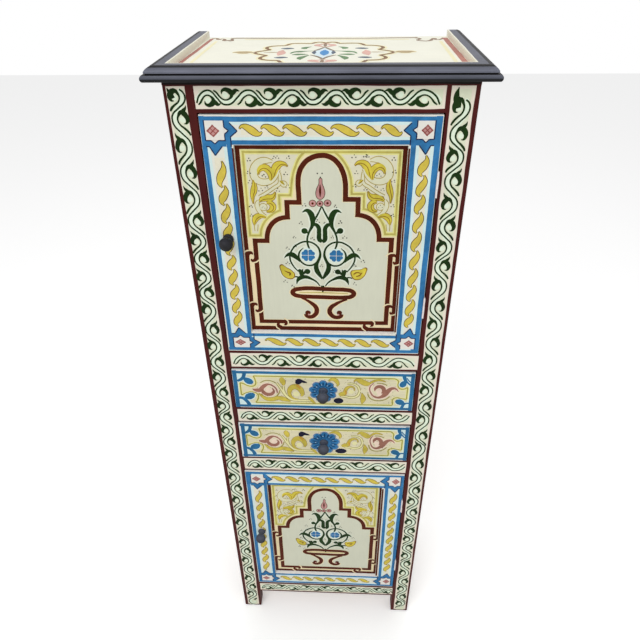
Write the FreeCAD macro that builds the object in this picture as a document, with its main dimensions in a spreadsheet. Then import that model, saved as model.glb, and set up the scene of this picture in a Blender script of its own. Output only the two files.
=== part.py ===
import FreeCAD, Part
import os
import Sketcher

# Painted storage cabinet: between four posts stand, from the top down, a door, two drawers
# and a door. Millimetres, +Z up, the front faces -Y and the origin lies on the floor under
# the middle of the cabinet.

# Driving dimensions
SIZES = (
    # Carcass
    ("body_width", "400"),
    ("body_depth", "267"),
    ("post_width", "40"),
    ("frame_thickness", "27"),
    ("post_round", "1.5"),
    ("foot_round", "3"),
    ("foot_height", "68"),
    ("bottom_rail_height", "39"),
    ("drawer_door_rail_height", "38"),
    ("divider_rail_height", "36"),
    ("door_drawer_rail_height", "38"),
    ("top_rail_height", "34"),
    ("rail_tenon_length", "15"),
    ("rail_tenon_thickness", "10"),
    ("rail_tenon_shoulder", "4"),
    ("side_thickness", "12"),
    ("side_inset", "5"),
    ("side_tongue", "8"),
    ("back_thickness", "5"),
    ("back_lap", "12"),
    ("floor_thickness", "12"),
    ("housing_depth", "4"),
    ("shelf_thickness", "12"),
    ("shelf_height", "190"),
    ("shelf_setback", "6"),
    ("shelf_play", "0.8"),
    ("cleat_width", "12"),
    ("cleat_height", "14"),
    ("joint_play", "0.5"),
    # Top board and its moulding
    ("top_board_thickness", "15"),
    ("moulding_lap", "8.6"),
    ("moulding_lap_depth", "3"),
    ("moulding_rise", "9.5"),
    ("moulding_drop", "8"),
    ("torus_foot", "18.3"),
    ("torus_bulge", "2.1"),
    ("torus_height", "8.2"),
    ("quirk_foot", "14.2"),
    ("quirk_height", "1.2"),
    ("band_foot", "15.8"),
    ("band_height", "2.4"),
    ("crown_foot", "7.4"),
    ("crown_radius", "14"),
    # Doors
    ("upper_door_height", "385"),
    ("lower_door_height", "394"),
    ("front_gap", "2"),
    ("front_proud", "2"),
    ("front_round", "0.9"),
    ("door_thickness", "20"),
    ("stile_width", "42"),
    ("door_rail_height", "39"),
    ("panel_recess", "7.5"),
    ("panel_thickness", "8"),
    ("panel_groove", "8"),
    ("door_tenon_length", "22"),
    ("door_tenon_shoulder", "6"),
    ("upper_knob_height", "208"),
    ("lower_knob_height", "200"),
    ("stop_width", "30"),
    ("stop_height", "10"),
    ("stop_gap", "0.4"),
    # Drawers
    ("upper_drawer_height", "88"),
    ("lower_drawer_height", "91"),
    ("drawer_front_thickness", "18"),
    ("drawer_side_thickness", "10"),
    ("drawer_side_inset", "2"),
    ("drawer_rebate", "10"),
    ("drawer_side_drop", "8"),
    ("drawer_bottom_thickness", "4"),
    ("drawer_bottom_height", "6"),
    ("drawer_groove", "4"),
    ("drawer_rear_gap", "0.8"),
    ("runner_reach", "14"),
    ("runner_thickness", "12"),
    ("runner_guide_rise", "18"),
    ("running_gap", "0.3"),
    ("guide_gap", "0.5"),
    # Turned knobs
    ("knob_projection", "28.5"),
    ("knob_ball_radius", "10.2"),
    ("knob_waist_radius", "6.2"),
    ("knob_flange_radius", "8"),
    ("knob_flange_thickness", "2.6"),
    ("knob_cove_height", "2.2"),
    ("knob_spigot_radius", "4"),
    ("knob_spigot_length", "12"),
    ("knob_spigot_clearance", "0.05"),
    # Butt hinges, their pins and screws
    ("hinge_length", "36"),
    ("hinge_inset", "92"),
    ("leaf_width", "16"),
    ("leaf_thickness", "0.9"),
    ("knuckle_radius", "2.2"),
    ("knuckle_gap", "0.3"),
    ("hinge_pin_radius", "1.1"),
    ("hinge_pin_clearance", "0.05"),
    ("hinge_pin_head_radius", "1.9"),
    ("hinge_pin_head_height", "1"),
    ("screw_head_radius", "2.4"),
    ("screw_shank_radius", "1.5"),
    ("screw_length", "14"),
    ("screw_spread", "22"),
    # Panel pins of the moulding and the back
    ("nail_radius", "0.7"),
    ("nail_head_radius", "1.2"),
    ("nail_head_height", "0.9"),
    ("nail_length", "25"),
    ("nail_sink", "0.6"),
    ("nail_margin", "30"),
    # Every cut runs past the wood by this much
    ("overrun", "1"),
)

# Places worked out from the driving dimensions, from the floor up and from the front back
PLACES = (
    ("front", "=(sizes.front_proud + sizes.knob_projection - sizes.body_depth) / 2"),
    ("face", "=front - sizes.front_proud"),
    ("inside", "=front + sizes.frame_thickness"),
    ("rear", "=front + sizes.body_depth"),
    ("back_face", "=rear - sizes.back_thickness"),
    ("rear_frame", "=rear - sizes.frame_thickness"),
    ("opening_width", "=sizes.body_width - 2 * sizes.post_width"),
    ("front_width", "=opening_width - 2 * sizes.front_gap"),
    ("inner_width", "=sizes.body_width - 2 * (sizes.side_inset + sizes.side_thickness)"),
    ("lower_door_opening", "=sizes.foot_height + sizes.bottom_rail_height"),
    ("drawer_door_rail", "=lower_door_opening + sizes.lower_door_height + 2 * sizes.front_gap"),
    ("lower_drawer_opening", "=drawer_door_rail + sizes.drawer_door_rail_height"),
    ("divider_rail", "=lower_drawer_opening + sizes.lower_drawer_height + 2 * sizes.front_gap"),
    ("upper_drawer_opening", "=divider_rail + sizes.divider_rail_height"),
    ("door_drawer_rail", "=upper_drawer_opening + sizes.upper_drawer_height + 2 * sizes.front_gap"),
    ("upper_door_opening", "=door_drawer_rail + sizes.door_drawer_rail_height"),
    ("top_rail", "=upper_door_opening + sizes.upper_door_height + 2 * sizes.front_gap"),
    ("post_height", "=top_rail + sizes.top_rail_height"),
    ("board_top", "=post_height + sizes.top_board_thickness"),
    ("moulding_base", "=board_top - sizes.moulding_drop"),
    ("moulding_height", "=sizes.moulding_drop + sizes.moulding_rise"),
    ("overhang", "=sizes.torus_foot + sizes.torus_bulge"),
    ("torus_radius", "=(sizes.torus_height ^ 2 / 4 + sizes.torus_bulge ^ 2) / (2 * sizes.torus_bulge)"),
    ("shelf_base", "=upper_door_opening + sizes.shelf_height"),
    ("drawer_side_start", "=sizes.drawer_front_thickness - sizes.front_proud - sizes.drawer_rebate"),
    ("drawer_box_end", "=sizes.body_depth - sizes.back_thickness - sizes.drawer_rear_gap"),
    ("drawer_box_width", "=front_width - 2 * sizes.drawer_side_inset"),
    ("hinge_x", "=(opening_width - sizes.front_gap) / 2"),
    ("hinge_y", "=face - sizes.knuckle_radius - sizes.knuckle_gap"),
    ("knuckle_length", "=(sizes.hinge_length - 2 * sizes.knuckle_gap) / 3"),
    ("leaf_start", "=(sizes.hinge_pin_radius + sizes.knuckle_radius) / 2 - sizes.knuckle_gap"),
)

document = FreeCAD.newDocument("painted_storage_cabinet")


def add_sheet(name, rows):
    """A spreadsheet with one alias and its value or formula in each row."""
    sheet = document.addObject("Spreadsheet::Sheet", name)
    for number, (alias, content) in enumerate(rows, start=1):
        sheet.set("A%d" % number, alias)
        sheet.set("B%d" % number, content)
        sheet.setAlias("B%d" % number, alias)
    document.recompute()
    return sheet


def new_piece(label, x, y, z):
    """An empty body for one sub-part, with its origin at the given place."""
    body = document.addObject("PartDesign::Body", label)
    body.Label = label
    place_at(body, x, y, z)
    return body


def place_at(item, x, y, z):
    """Bind the place of a body or a feature to three expressions."""
    item.setExpression("Placement.Base.x", x)
    item.setExpression("Placement.Base.y", y)
    item.setExpression("Placement.Base.z", z)


def block(body, kind, name, size, place):
    """Add or cut a box; x is its middle, y its front and z its underside."""
    feature = body.newObject("PartDesign::" + kind + "Box", name)
    for side, length in zip(("Length", "Width", "Height"), size):
        feature.setExpression(side, length)
    x, y, z = place
    place_at(feature, "(%s) - (%s) / 2" % (x, size[0]), y, z)
    return feature


def rod(body, kind, name, radius, length, place, turn=None):
    """Add or cut a cylinder that stands on the given place, turned as asked."""
    feature = body.newObject("PartDesign::" + kind + "Cylinder", name)
    if turn:
        feature.Placement = FreeCAD.Placement(FreeCAD.Vector(), turn)
    feature.setExpression("Radius", radius)
    feature.setExpression("Height", length)
    place_at(feature, *place)
    return feature


def cone(body, kind, name, radii, length, place, turn):
    """Add or cut a cone from its wide end at the given place to its narrow end."""
    feature = body.newObject("PartDesign::" + kind + "Cone", name)
    feature.Placement = FreeCAD.Placement(FreeCAD.Vector(), turn)
    feature.setExpression("Radius1", radii[0])
    feature.setExpression("Radius2", radii[1])
    feature.setExpression("Height", length)
    place_at(feature, *place)
    return feature


def round_edges(body, name, radius, **planes):
    """Round the edges that lie in all the given outer planes, such as x="low", z="high"."""
    document.recompute()
    base = body.Tip
    bounds = base.Shape.BoundBox
    names = []
    for number, edge in enumerate(base.Shape.Edges, start=1):
        if all(lies_in(edge.BoundBox, bounds, axis, end) for axis, end in planes.items()):
            names.append("Edge%d" % number)
    fillet = body.newObject("PartDesign::Fillet", name)
    fillet.Base = (base, names)
    fillet.setExpression("Radius", radius)
    return fillet


def lies_in(edge, whole, axis, end):
    """Tell whether an edge's bounds lie flat in one outer plane of the whole."""
    letter = axis.upper()
    outer = getattr(whole, letter + ("Min" if end == "low" else "Max"))
    low = getattr(edge, letter + "Min")
    high = getattr(edge, letter + "Max")
    tolerance = whole.DiagonalLength / 1e5
    return abs(low - outer) < tolerance and abs(high - outer) < tolerance


def outline_sketch(body, name, plane, outline):
    """A closed sketch through (x, y, radius) corners; a radius swells the next side outward."""
    sketch = body.newObject("Sketcher::SketchObject", name)
    support = [item for item in body.Origin.OriginFeatures if item.Role == plane][0]
    sketch.AttachmentSupport = (support, [""])
    sketch.MapMode = "FlatFace"
    corners = []
    for x, y, radius in outline:
        corners.append(FreeCAD.Vector(body.evalExpression(x), body.evalExpression(y), 0))
    following = corners[1:] + corners[:1]
    turning = sum(a.x * b.y - a.y * b.x for a, b in zip(corners, following))
    starts = []
    for (x, y, radius), a, b in zip(outline, corners, following):
        if radius is None:
            index = sketch.addGeometry(Part.LineSegment(a, b))
            starts.append((index, 1, 2))
            continue
        size = body.evalExpression(radius)
        along = b - a
        outward = FreeCAD.Vector(along.y, -along.x, 0).normalize()
        if turning < 0:
            outward = outward * -1
        swell = size - (size ** 2 - (along.Length / 2) ** 2) ** 0.5
        index = sketch.addGeometry(Part.Arc(a, (a + b) * 0.5 + outward * swell, b))
        distances = [sketch.getPoint(index, end).distanceToPoint(a) for end in (1, 2)]
        starts.append((index, 1, 2) if distances[0] < distances[1] else (index, 2, 1))
    for (index, start, end), (after, after_start, after_end) in zip(starts, starts[1:] + starts[:1]):
        sketch.addConstraint(Sketcher.Constraint("Coincident", index, end, after, after_start))
    for (x, y, radius), (index, start, end), corner in zip(outline, starts, corners):
        across = sketch.addConstraint(Sketcher.Constraint("DistanceX", -1, 1, index, start, corner.x))
        sketch.setExpression("Constraints[%d]" % across, x)
        above = sketch.addConstraint(Sketcher.Constraint("DistanceY", -1, 1, index, start, corner.y))
        sketch.setExpression("Constraints[%d]" % above, y)
        if radius is not None:
            arc = sketch.addConstraint(Sketcher.Constraint("Radius", index, body.evalExpression(radius)))
            sketch.setExpression("Constraints[%d]" % arc, radius)
    return sketch


add_sheet("sizes", SIZES)
add_sheet("places", PLACES)

# Names of the rails, their undersides and their heights, from the floor up
FRONT_RAILS = (
    ("bottom_front_rail", "sizes.foot_height", "sizes.bottom_rail_height"),
    ("drawer_door_rail", "places.drawer_door_rail", "sizes.drawer_door_rail_height"),
    ("drawer_divider_rail", "places.divider_rail", "sizes.divider_rail_height"),
    ("door_drawer_rail", "places.door_drawer_rail", "sizes.door_drawer_rail_height"),
    ("top_front_rail", "places.top_rail", "sizes.top_rail_height"),
)
REAR_RAILS = (
    ("bottom_rear_rail", "sizes.foot_height", "sizes.bottom_rail_height"),
    ("top_rear_rail", "places.top_rail", "sizes.top_rail_height"),
)
FRONT_RAIL_THICKNESS = "sizes.frame_thickness"
REAR_RAIL_THICKNESS = "(sizes.frame_thickness - sizes.back_thickness)"
PANEL_HEIGHT = "(places.post_height - sizes.foot_height)"
SIDES = (("left", -1), ("right", 1))


# Posts: square bars that run to the floor as feet. Each has mortises for its rails and a
# groove for the side panel; the rear ones are rebated for the back.
def make_post(label, side, rails, rail_thickness, at_front):
    x = "%d * (sizes.body_width - sizes.post_width) / 2" % side
    y = "places.front" if at_front else "places.rear_frame"
    post = new_piece(label, x, y, "0")
    size = ("sizes.post_width", "sizes.frame_thickness", "places.post_height")
    block(post, "Additive", "bar", size, ("0", "0", "0"))
    outer = "low" if side < 0 else "high"
    round_edges(post, "outer_edge", "sizes.post_round", x=outer, y="low" if at_front else "high")
    round_edges(post, "foot_edges", "sizes.foot_round", z="low")
    depth = "(sizes.rail_tenon_length + sizes.joint_play)"
    for name, base, height in rails:
        size = (depth, "sizes.rail_tenon_thickness", height + " - 2 * sizes.rail_tenon_shoulder")
        inner = "%d * (sizes.post_width - %s) / 2" % (-side, depth)
        middle = "(%s - sizes.rail_tenon_thickness) / 2" % rail_thickness
        place = (inner, middle, base + " + sizes.rail_tenon_shoulder")
        block(post, "Subtractive", name + "_mortise", size, place)
    size = ("sizes.side_thickness", "sizes.side_tongue", PANEL_HEIGHT)
    across = "%d * (sizes.post_width / 2 - sizes.side_inset - sizes.side_thickness / 2)" % side
    groove = "sizes.frame_thickness - sizes.side_tongue" if at_front else "0"
    block(post, "Subtractive", "panel_groove", size, (across, groove, "sizes.foot_height"))
    if not at_front:
        size = ("sizes.back_lap", "sizes.back_thickness", PANEL_HEIGHT)
        across = "%d * (sizes.post_width - sizes.back_lap) / 2" % -side
        place = (across, "sizes.frame_thickness - sizes.back_thickness", "sizes.foot_height")
        block(post, "Subtractive", "back_rebate", size, place)
    return post


# Rails: bars between two posts, with a stub tenon at each end
def make_rail(label, base, height, y, thickness):
    rail = new_piece(label, "0", y, base)
    block(rail, "Additive", "bar", ("places.opening_width", thickness, height), ("0", "0", "0"))
    size = (
        "places.opening_width + 2 * sizes.rail_tenon_length",
        "sizes.rail_tenon_thickness",
        height + " - 2 * sizes.rail_tenon_shoulder",
    )
    middle = "(%s - sizes.rail_tenon_thickness) / 2" % thickness
    block(rail, "Additive", "tenons", size, ("0", middle, "sizes.rail_tenon_shoulder"))
    return rail


# Side panels: one board each, let into the posts and housed for the two floors
def make_side_panel(label, side):
    x = "%d * (places.inner_width + sizes.side_thickness) / 2" % side
    reach = "(sizes.side_tongue - sizes.joint_play)"
    panel = new_piece(label, x, "places.inside", "sizes.foot_height")
    depth = "(sizes.body_depth - 2 * sizes.frame_thickness)"
    size = ("sizes.side_thickness", "%s + 2 * %s" % (depth, reach), PANEL_HEIGHT)
    block(panel, "Additive", "board", size, ("0", "-" + reach, "0"))
    across = "%d * (sizes.side_thickness - sizes.housing_depth) / 2" % -side
    for name, top in (("lower", "places.lower_door_opening"), ("upper", "places.upper_door_opening")):
        base = top + " - sizes.floor_thickness - sizes.foot_height"
        size = ("sizes.housing_depth", depth, "sizes.floor_thickness")
        block(panel, "Subtractive", name + "_floor_housing", size, (across, "0", base))
    return panel


# Back: a thin board in the rebates of the rear posts, over the rear rails
def make_back_panel():
    back = new_piece("back_panel", "0", "places.back_face", "sizes.foot_height")
    width = "places.opening_width + 2 * sizes.back_lap"
    block(back, "Additive", "board", (width, "sizes.back_thickness", PANEL_HEIGHT), ("0", "0", "0"))
    return back


# Floors of the two cupboards, flush with the rail in front; the upper one reaches the back
# between the rear posts, the lower one stops at the rear rail
def make_floor(label, top, reaches_back):
    floor = new_piece(label, "0", "places.inside", top + " - sizes.floor_thickness")
    depth = "(sizes.body_depth - 2 * sizes.frame_thickness)"
    width = "(places.inner_width + 2 * sizes.housing_depth)"
    block(floor, "Additive", "board", (width, depth, "sizes.floor_thickness"), ("0", "0", "0"))
    if reaches_back:
        size = ("places.opening_width", REAR_RAIL_THICKNESS, "sizes.floor_thickness")
        block(floor, "Additive", "rear_tongue", size, ("0", depth, "0"))
    return floor


# Shelf of the upper cupboard and the cleats that carry it
def make_shelf():
    y = "places.inside + sizes.shelf_setback"
    shelf = new_piece("shelf", "0", y, "places.shelf_base")
    size = (
        "places.inner_width - 2 * sizes.shelf_play",
        "sizes.body_depth - 2 * sizes.frame_thickness - sizes.shelf_setback - sizes.shelf_play",
        "sizes.shelf_thickness",
    )
    block(shelf, "Additive", "board", size, ("0", "0", "0"))
    round_edges(shelf, "front_edges", "sizes.front_round", y="low")
    return shelf


def make_shelf_cleat(label, side):
    x = "%d * (places.inner_width - sizes.cleat_width) / 2" % side
    cleat = new_piece(label, x, "places.inside", "places.shelf_base - sizes.cleat_height")
    size = ("sizes.cleat_width", "sizes.body_depth - 2 * sizes.frame_thickness", "sizes.cleat_height")
    block(cleat, "Additive", "strip", size, ("0", "0", "0"))
    return cleat


# Drawer runners: the ledge carries the drawer's side and the guide keeps it straight
def make_runner(label, side, opening):
    outer = "places.inner_width / 2"
    top = opening + " + sizes.front_gap - sizes.running_gap"
    runner = new_piece(label, "%d * %s" % (side, outer), "places.inside", top)
    depth = "sizes.body_depth - 2 * sizes.frame_thickness"
    inner = "places.drawer_box_width / 2"
    ledge = "(%s - %s + sizes.runner_reach)" % (outer, inner)
    size = (ledge, depth, "sizes.runner_thickness")
    place = ("%d * %s / 2" % (-side, ledge), "0", "-sizes.runner_thickness")
    block(runner, "Additive", "ledge", size, place)
    guide = "(%s - %s - sizes.guide_gap)" % (outer, inner)
    size = (guide, depth, "sizes.runner_thickness + sizes.runner_guide_rise")
    place = ("%d * %s / 2" % (-side, guide), "0", "-sizes.runner_thickness")
    block(runner, "Additive", "guide", size, place)
    return runner


# Top: a board that lies flush on the posts, rebated at the front and the sides for the moulding
def make_top_board():
    board = new_piece("top_board", "0", "places.front", "places.post_height")
    size = ("sizes.body_width", "sizes.body_depth", "sizes.top_board_thickness")
    block(board, "Additive", "board", size, ("0", "0", "0"))
    base = "sizes.top_board_thickness - sizes.moulding_lap_depth"
    size = ("sizes.body_width", "sizes.moulding_lap", "sizes.moulding_lap_depth")
    block(board, "Subtractive", "front_rebate", size, ("0", "0", base))
    for name, side in SIDES:
        size = ("sizes.moulding_lap", "sizes.body_depth", "sizes.moulding_lap_depth")
        across = "%d * (sizes.body_width - sizes.moulding_lap) / 2" % side
        block(board, "Subtractive", name + "_rebate", size, (across, "0", base))
    return board


# Moulding: seen in section from the wood outward, it lies in the board's rebate, stands up
# round the top and falls in a crown, a band, a sunk quirk and a torus
def moulding_section(sign):
    seat = "sizes.moulding_drop - sizes.moulding_lap_depth"
    wall = "%d * sizes.torus_foot" % sign
    quirk_top = "sizes.torus_height + sizes.quirk_height"
    band = "%d * sizes.band_foot" % sign
    lap = "%d * sizes.moulding_lap" % -sign
    return (
        ("0", "0", None),
        (wall, "0", "places.torus_radius"),
        (wall, "sizes.torus_height", None),
        ("%d * sizes.quirk_foot" % sign, "sizes.torus_height", None),
        ("%d * sizes.quirk_foot" % sign, quirk_top, None),
        (band, quirk_top, None),
        (band, quirk_top + " + sizes.band_height", "sizes.crown_radius"),
        ("%d * sizes.crown_foot" % sign, "places.moulding_height", None),
        (lap, "places.moulding_height", None),
        (lap, seat, None),
        ("0", seat, None),
    )


def cut_mitre(body, name, along, inward, corner_x, corner_y):
    """Cut one end at 45 degrees through the corner where two mouldings' inner faces meet.

    along is the way to the end that is cut and inward the way from the moulding to the board.
    """
    reach = "(places.overhang + sizes.overrun)"
    lap = "(sizes.moulding_lap + sizes.overrun)"
    x_sign, y_sign = along
    in_x, in_y = inward
    ways = ((corner_x, x_sign - in_x), (corner_y, y_sign - in_y))
    outer = ["%s + %d * %s" % (corner, way, reach) for corner, way in ways]
    inner = ["%s - %d * %s" % (corner, way, lap) for corner, way in ways]
    if x_sign:
        beside = (outer[0], inner[1])
    else:
        beside = (inner[0], outer[1])
    outline = [(outer[0], outer[1], None), (inner[0], inner[1], None), (beside[0], beside[1], None)]
    sketch = outline_sketch(body, name + "_sketch", "XY_Plane", outline)
    pocket = body.newObject("PartDesign::Pocket", name)
    pocket.Profile = sketch
    pocket.Reversed = True
    pocket.setExpression("Length", "places.moulding_height + sizes.overrun")
    return pocket


def make_front_moulding():
    half = "(sizes.body_width / 2 + places.overhang)"
    moulding = new_piece("moulding_front", "-" + half, "places.front", "places.moulding_base")
    sketch = outline_sketch(moulding, "section", "YZ_Plane", moulding_section(-1))
    pad = moulding.newObject("PartDesign::Pad", "length")
    pad.Profile = sketch
    pad.setExpression("Length", "2 * " + half)
    cut_mitre(moulding, "left_mitre", (-1, 0), (0, 1), "places.overhang", "0")
    cut_mitre(moulding, "right_mitre", (1, 0), (0, 1), "places.overhang + sizes.body_width", "0")
    return moulding


def make_side_moulding(label, side):
    x = "%d * sizes.body_width / 2" % side
    moulding = new_piece(label, x, "places.rear", "places.moulding_base")
    sketch = outline_sketch(moulding, "section", "XZ_Plane", moulding_section(side))
    pad = moulding.newObject("PartDesign::Pad", "length")
    pad.Profile = sketch
    pad.setExpression("Length", "sizes.body_depth + places.overhang")
    cut_mitre(moulding, "mitre", (0, -1), (-side, 0), "0", "-sizes.body_depth")
    return moulding


# Doors: two stiles and two rails, tenoned together, round a panel in their grooves
def door_tenon_height():
    return "(sizes.door_rail_height - sizes.panel_groove - sizes.door_tenon_shoulder)"


def make_stile(label, side, opening, height, knob_height):
    x = "%d * (places.front_width - sizes.stile_width) / 2" % side
    stile = new_piece(label, x, "places.face", opening + " + sizes.front_gap")
    block(stile, "Additive", "bar", ("sizes.stile_width", "sizes.door_thickness", height), ("0", "0", "0"))
    round_edges(stile, "outer_edge", "sizes.front_round", x="low" if side < 0 else "high", y="low")
    inset = "(sizes.door_rail_height - sizes.panel_groove)"
    size = ("sizes.panel_groove", "sizes.panel_thickness", "%s - 2 * %s" % (height, inset))
    across = "%d * (sizes.stile_width - sizes.panel_groove) / 2" % -side
    block(stile, "Subtractive", "panel_groove", size, (across, "sizes.panel_recess", inset))
    depth = "(sizes.door_tenon_length + sizes.joint_play)"
    across = "%d * (sizes.stile_width - %s) / 2" % (-side, depth)
    lower = "sizes.door_tenon_shoulder"
    upper = "%s - sizes.door_tenon_shoulder - %s" % (height, door_tenon_height())
    for name, base in (("lower_mortise", lower), ("upper_mortise", upper)):
        size = (depth, "sizes.panel_thickness", door_tenon_height())
        block(stile, "Subtractive", name, size, (across, "sizes.panel_recess", base))
    if knob_height:
        cut_spigot_hole(stile, knob_height)
    return stile


def make_door_rail(label, base, at_top):
    rail = new_piece(label, "0", "places.face", base)
    width = "(places.front_width - 2 * sizes.stile_width)"
    size = (width, "sizes.door_thickness", "sizes.door_rail_height")
    block(rail, "Additive", "bar", size, ("0", "0", "0"))
    size = (width + " + 2 * sizes.door_tenon_length", "sizes.panel_thickness", door_tenon_height())
    tenon = "sizes.panel_groove" if at_top else "sizes.door_tenon_shoulder"
    block(rail, "Additive", "tenons", size, ("0", "sizes.panel_recess", tenon))
    groove = "0" if at_top else "sizes.door_rail_height - sizes.panel_groove"
    size = (width, "sizes.panel_thickness", "sizes.panel_groove")
    block(rail, "Subtractive", "panel_groove", size, ("0", "sizes.panel_recess", groove))
    return rail


def make_door_panel(label, opening, height):
    reach = "(sizes.panel_groove - sizes.joint_play)"
    base = opening + " + sizes.front_gap + sizes.door_rail_height - " + reach
    panel = new_piece(label, "0", "places.face + sizes.panel_recess", base)
    size = (
        "places.front_width - 2 * sizes.stile_width + 2 * " + reach,
        "sizes.panel_thickness",
        height + " - 2 * sizes.door_rail_height + 2 * " + reach,
    )
    block(panel, "Additive", "board", size, ("0", "0", "0"))
    return panel


# Turned knobs: a ball on a waisted stem and flange, with a spigot glued into the wood
def cut_spigot_hole(body, height):
    turn = FreeCAD.Rotation(FreeCAD.Vector(1, 0, 0), -90)
    radius = "sizes.knob_spigot_radius + sizes.knob_spigot_clearance"
    depth = "sizes.knob_spigot_length + sizes.joint_play"
    rod(body, "Subtractive", "spigot_hole", radius, depth, ("0", "0", height), turn)


def make_knob(label, x, z):
    knob = new_piece(label, x, "places.face", z)
    ball_middle = "(sizes.knob_projection - sizes.knob_ball_radius)"
    shoulder = "sqrt(sizes.knob_ball_radius ^ 2 - sizes.knob_waist_radius ^ 2)"
    outline = (
        ("0", "sizes.knob_spigot_length", None),
        ("0", "-sizes.knob_projection", "sizes.knob_ball_radius"),
        ("sizes.knob_waist_radius", "%s - %s" % (shoulder, ball_middle), None),
        ("sizes.knob_waist_radius", "-sizes.knob_flange_thickness - sizes.knob_cove_height", None),
        ("sizes.knob_flange_radius", "-sizes.knob_flange_thickness", None),
        ("sizes.knob_flange_radius", "0", None),
        ("sizes.knob_spigot_radius", "0", None),
        ("sizes.knob_spigot_radius", "sizes.knob_spigot_length", None),
    )
    sketch = outline_sketch(knob, "profile", "XY_Plane", outline)
    turned = knob.newObject("PartDesign::Revolution", "turned")
    turned.Profile = sketch
    turned.ReferenceAxis = (sketch, ["V_Axis"])
    turned.Angle = 360
    return knob


# Butt hinges: each leaf lies in the gap on the edge of its own wood, and their knuckles
# share a pin that stands just before the door's face. All hinges of a node are separate.
def make_hinge_leaves(label, side, heights):
    leaves = new_piece(label, "places.hinge_x", "places.hinge_y", "0")
    turn = FreeCAD.Rotation(FreeCAD.Vector(0, 1, 0), 90 * side)
    outer = "(sizes.front_gap / 2 - sizes.leaf_thickness)"
    across = "%d * (%s + sizes.leaf_thickness / 2)" % (side, outer)
    step = "(places.knuckle_length + sizes.knuckle_gap)"
    clear = "(places.knuckle_length + 2 * sizes.knuckle_gap)"
    own_steps, other_steps = ((-1, 1), (0,)) if side > 0 else ((0,), (-1, 1))
    bore = "sizes.hinge_pin_radius + sizes.hinge_pin_clearance"
    for number, height in enumerate(heights, start=1):
        base = "%s - sizes.hinge_length / 2" % height
        size = ("sizes.leaf_thickness", "sizes.leaf_width - places.leaf_start", "sizes.hinge_length")
        block(leaves, "Additive", "leaf_%d" % number, size, (across, "places.leaf_start", base))
        for place in other_steps:
            size = (clear, "sizes.knuckle_radius + sizes.knuckle_gap", clear)
            middle = "%s + %d * %s - %s / 2" % (height, place, step, clear)
            block(leaves, "Subtractive", "notch_%d" % number, size, ("0", "0", middle))
        for place in own_steps:
            middle = "%s + %d * %s - places.knuckle_length / 2" % (height, place, step)
            spot = ("0", "0", middle)
            name = "knuckle_%d" % number
            rod(leaves, "Additive", name, "sizes.knuckle_radius", "places.knuckle_length", spot)
        rod(leaves, "Subtractive", "bore_%d" % number, bore, "sizes.hinge_length", ("0", "0", base))
        for end in (-1, 1):
            radii = ("sizes.screw_head_radius", "sizes.screw_shank_radius")
            spot = screw_spot(side, end, height, "(%s)" % outer)
            cone(leaves, "Subtractive", "countersink_%d" % number, radii, "sizes.leaf_thickness", spot, turn)
    return leaves


def screw_spot(side, end, height, x):
    """Where one hinge screw's axis meets the plane at x, beside the hinge's own axis."""
    y = "(sizes.leaf_width + sizes.knuckle_radius) / 2"
    return ("%d * %s" % (side, x), y, "%s + %d * sizes.screw_spread / 2" % (height, end))


def make_hinge_screws(label, side, heights):
    screws = new_piece(label, "places.hinge_x", "places.hinge_y", "0")
    turn = FreeCAD.Rotation(FreeCAD.Vector(0, 1, 0), 90 * side)
    shank = "sizes.screw_length - sizes.leaf_thickness"
    radii = ("sizes.screw_head_radius", "sizes.screw_shank_radius")
    for height in heights:
        for end in (-1, 1):
            spot = screw_spot(side, end, height, "(sizes.front_gap / 2 - sizes.leaf_thickness)")
            cone(screws, "Additive", "head", radii, "sizes.leaf_thickness", spot, turn)
            spot = screw_spot(side, end, height, "(sizes.front_gap / 2)")
            rod(screws, "Additive", "shank", "sizes.screw_shank_radius", shank, spot, turn)
    return screws


def make_hinge_pins(label, heights):
    pins = new_piece(label, "places.hinge_x", "places.hinge_y", "0")
    for height in heights:
        low = "%s - sizes.hinge_length / 2" % height
        high = "%s + sizes.hinge_length / 2" % height
        rod(pins, "Additive", "shank", "sizes.hinge_pin_radius", "sizes.hinge_length", ("0", "0", low))
        head = "sizes.hinge_pin_head_radius"
        rod(pins, "Additive", "head", head, "sizes.hinge_pin_head_height", ("0", "0", high))
    return pins


# Door stops: one block under the rail above each door, behind its free stile
def make_door_stops():
    x = "(sizes.stile_width - places.front_width) / 2"
    y = "places.face + sizes.door_thickness + sizes.stop_gap"
    stops = new_piece("door_stops", x, y, "0")
    thickness = "sizes.frame_thickness + sizes.front_proud - sizes.door_thickness - sizes.stop_gap"
    for name, rail in (("upper_block", "places.top_rail"), ("lower_block", "places.drawer_door_rail")):
        size = ("sizes.stop_width", thickness, "sizes.stop_height")
        block(stops, "Additive", name, size, ("0", "0", rail + " - sizes.stop_height"))
    return stops


# Drawers: the front is rebated over the sides, and the bottom slides into grooves under the back
def make_drawer_front(label, opening, height):
    front = new_piece(label, "0", "places.face", opening + " + sizes.front_gap")
    size = ("places.front_width", "sizes.drawer_front_thickness", height)
    block(front, "Additive", "board", size, ("0", "0", "0"))
    round_edges(front, "front_edges", "sizes.front_round", y="low")
    lap = "(sizes.drawer_side_inset + sizes.drawer_side_thickness)"
    start = "sizes.drawer_front_thickness - sizes.drawer_rebate"
    for name, side in SIDES:
        across = "%d * (places.front_width - %s) / 2" % (side, lap)
        size = (lap, "sizes.drawer_rebate", height)
        block(front, "Subtractive", name + "_rebate", size, (across, start, "0"))
    size = (
        "places.drawer_box_width - 2 * sizes.drawer_side_thickness",
        "sizes.drawer_groove",
        "sizes.drawer_bottom_thickness",
    )
    start = "sizes.drawer_front_thickness - sizes.drawer_groove"
    block(front, "Subtractive", "bottom_groove", size, ("0", start, "sizes.drawer_bottom_height"))
    cut_spigot_hole(front, height + " / 2")
    return front


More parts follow.
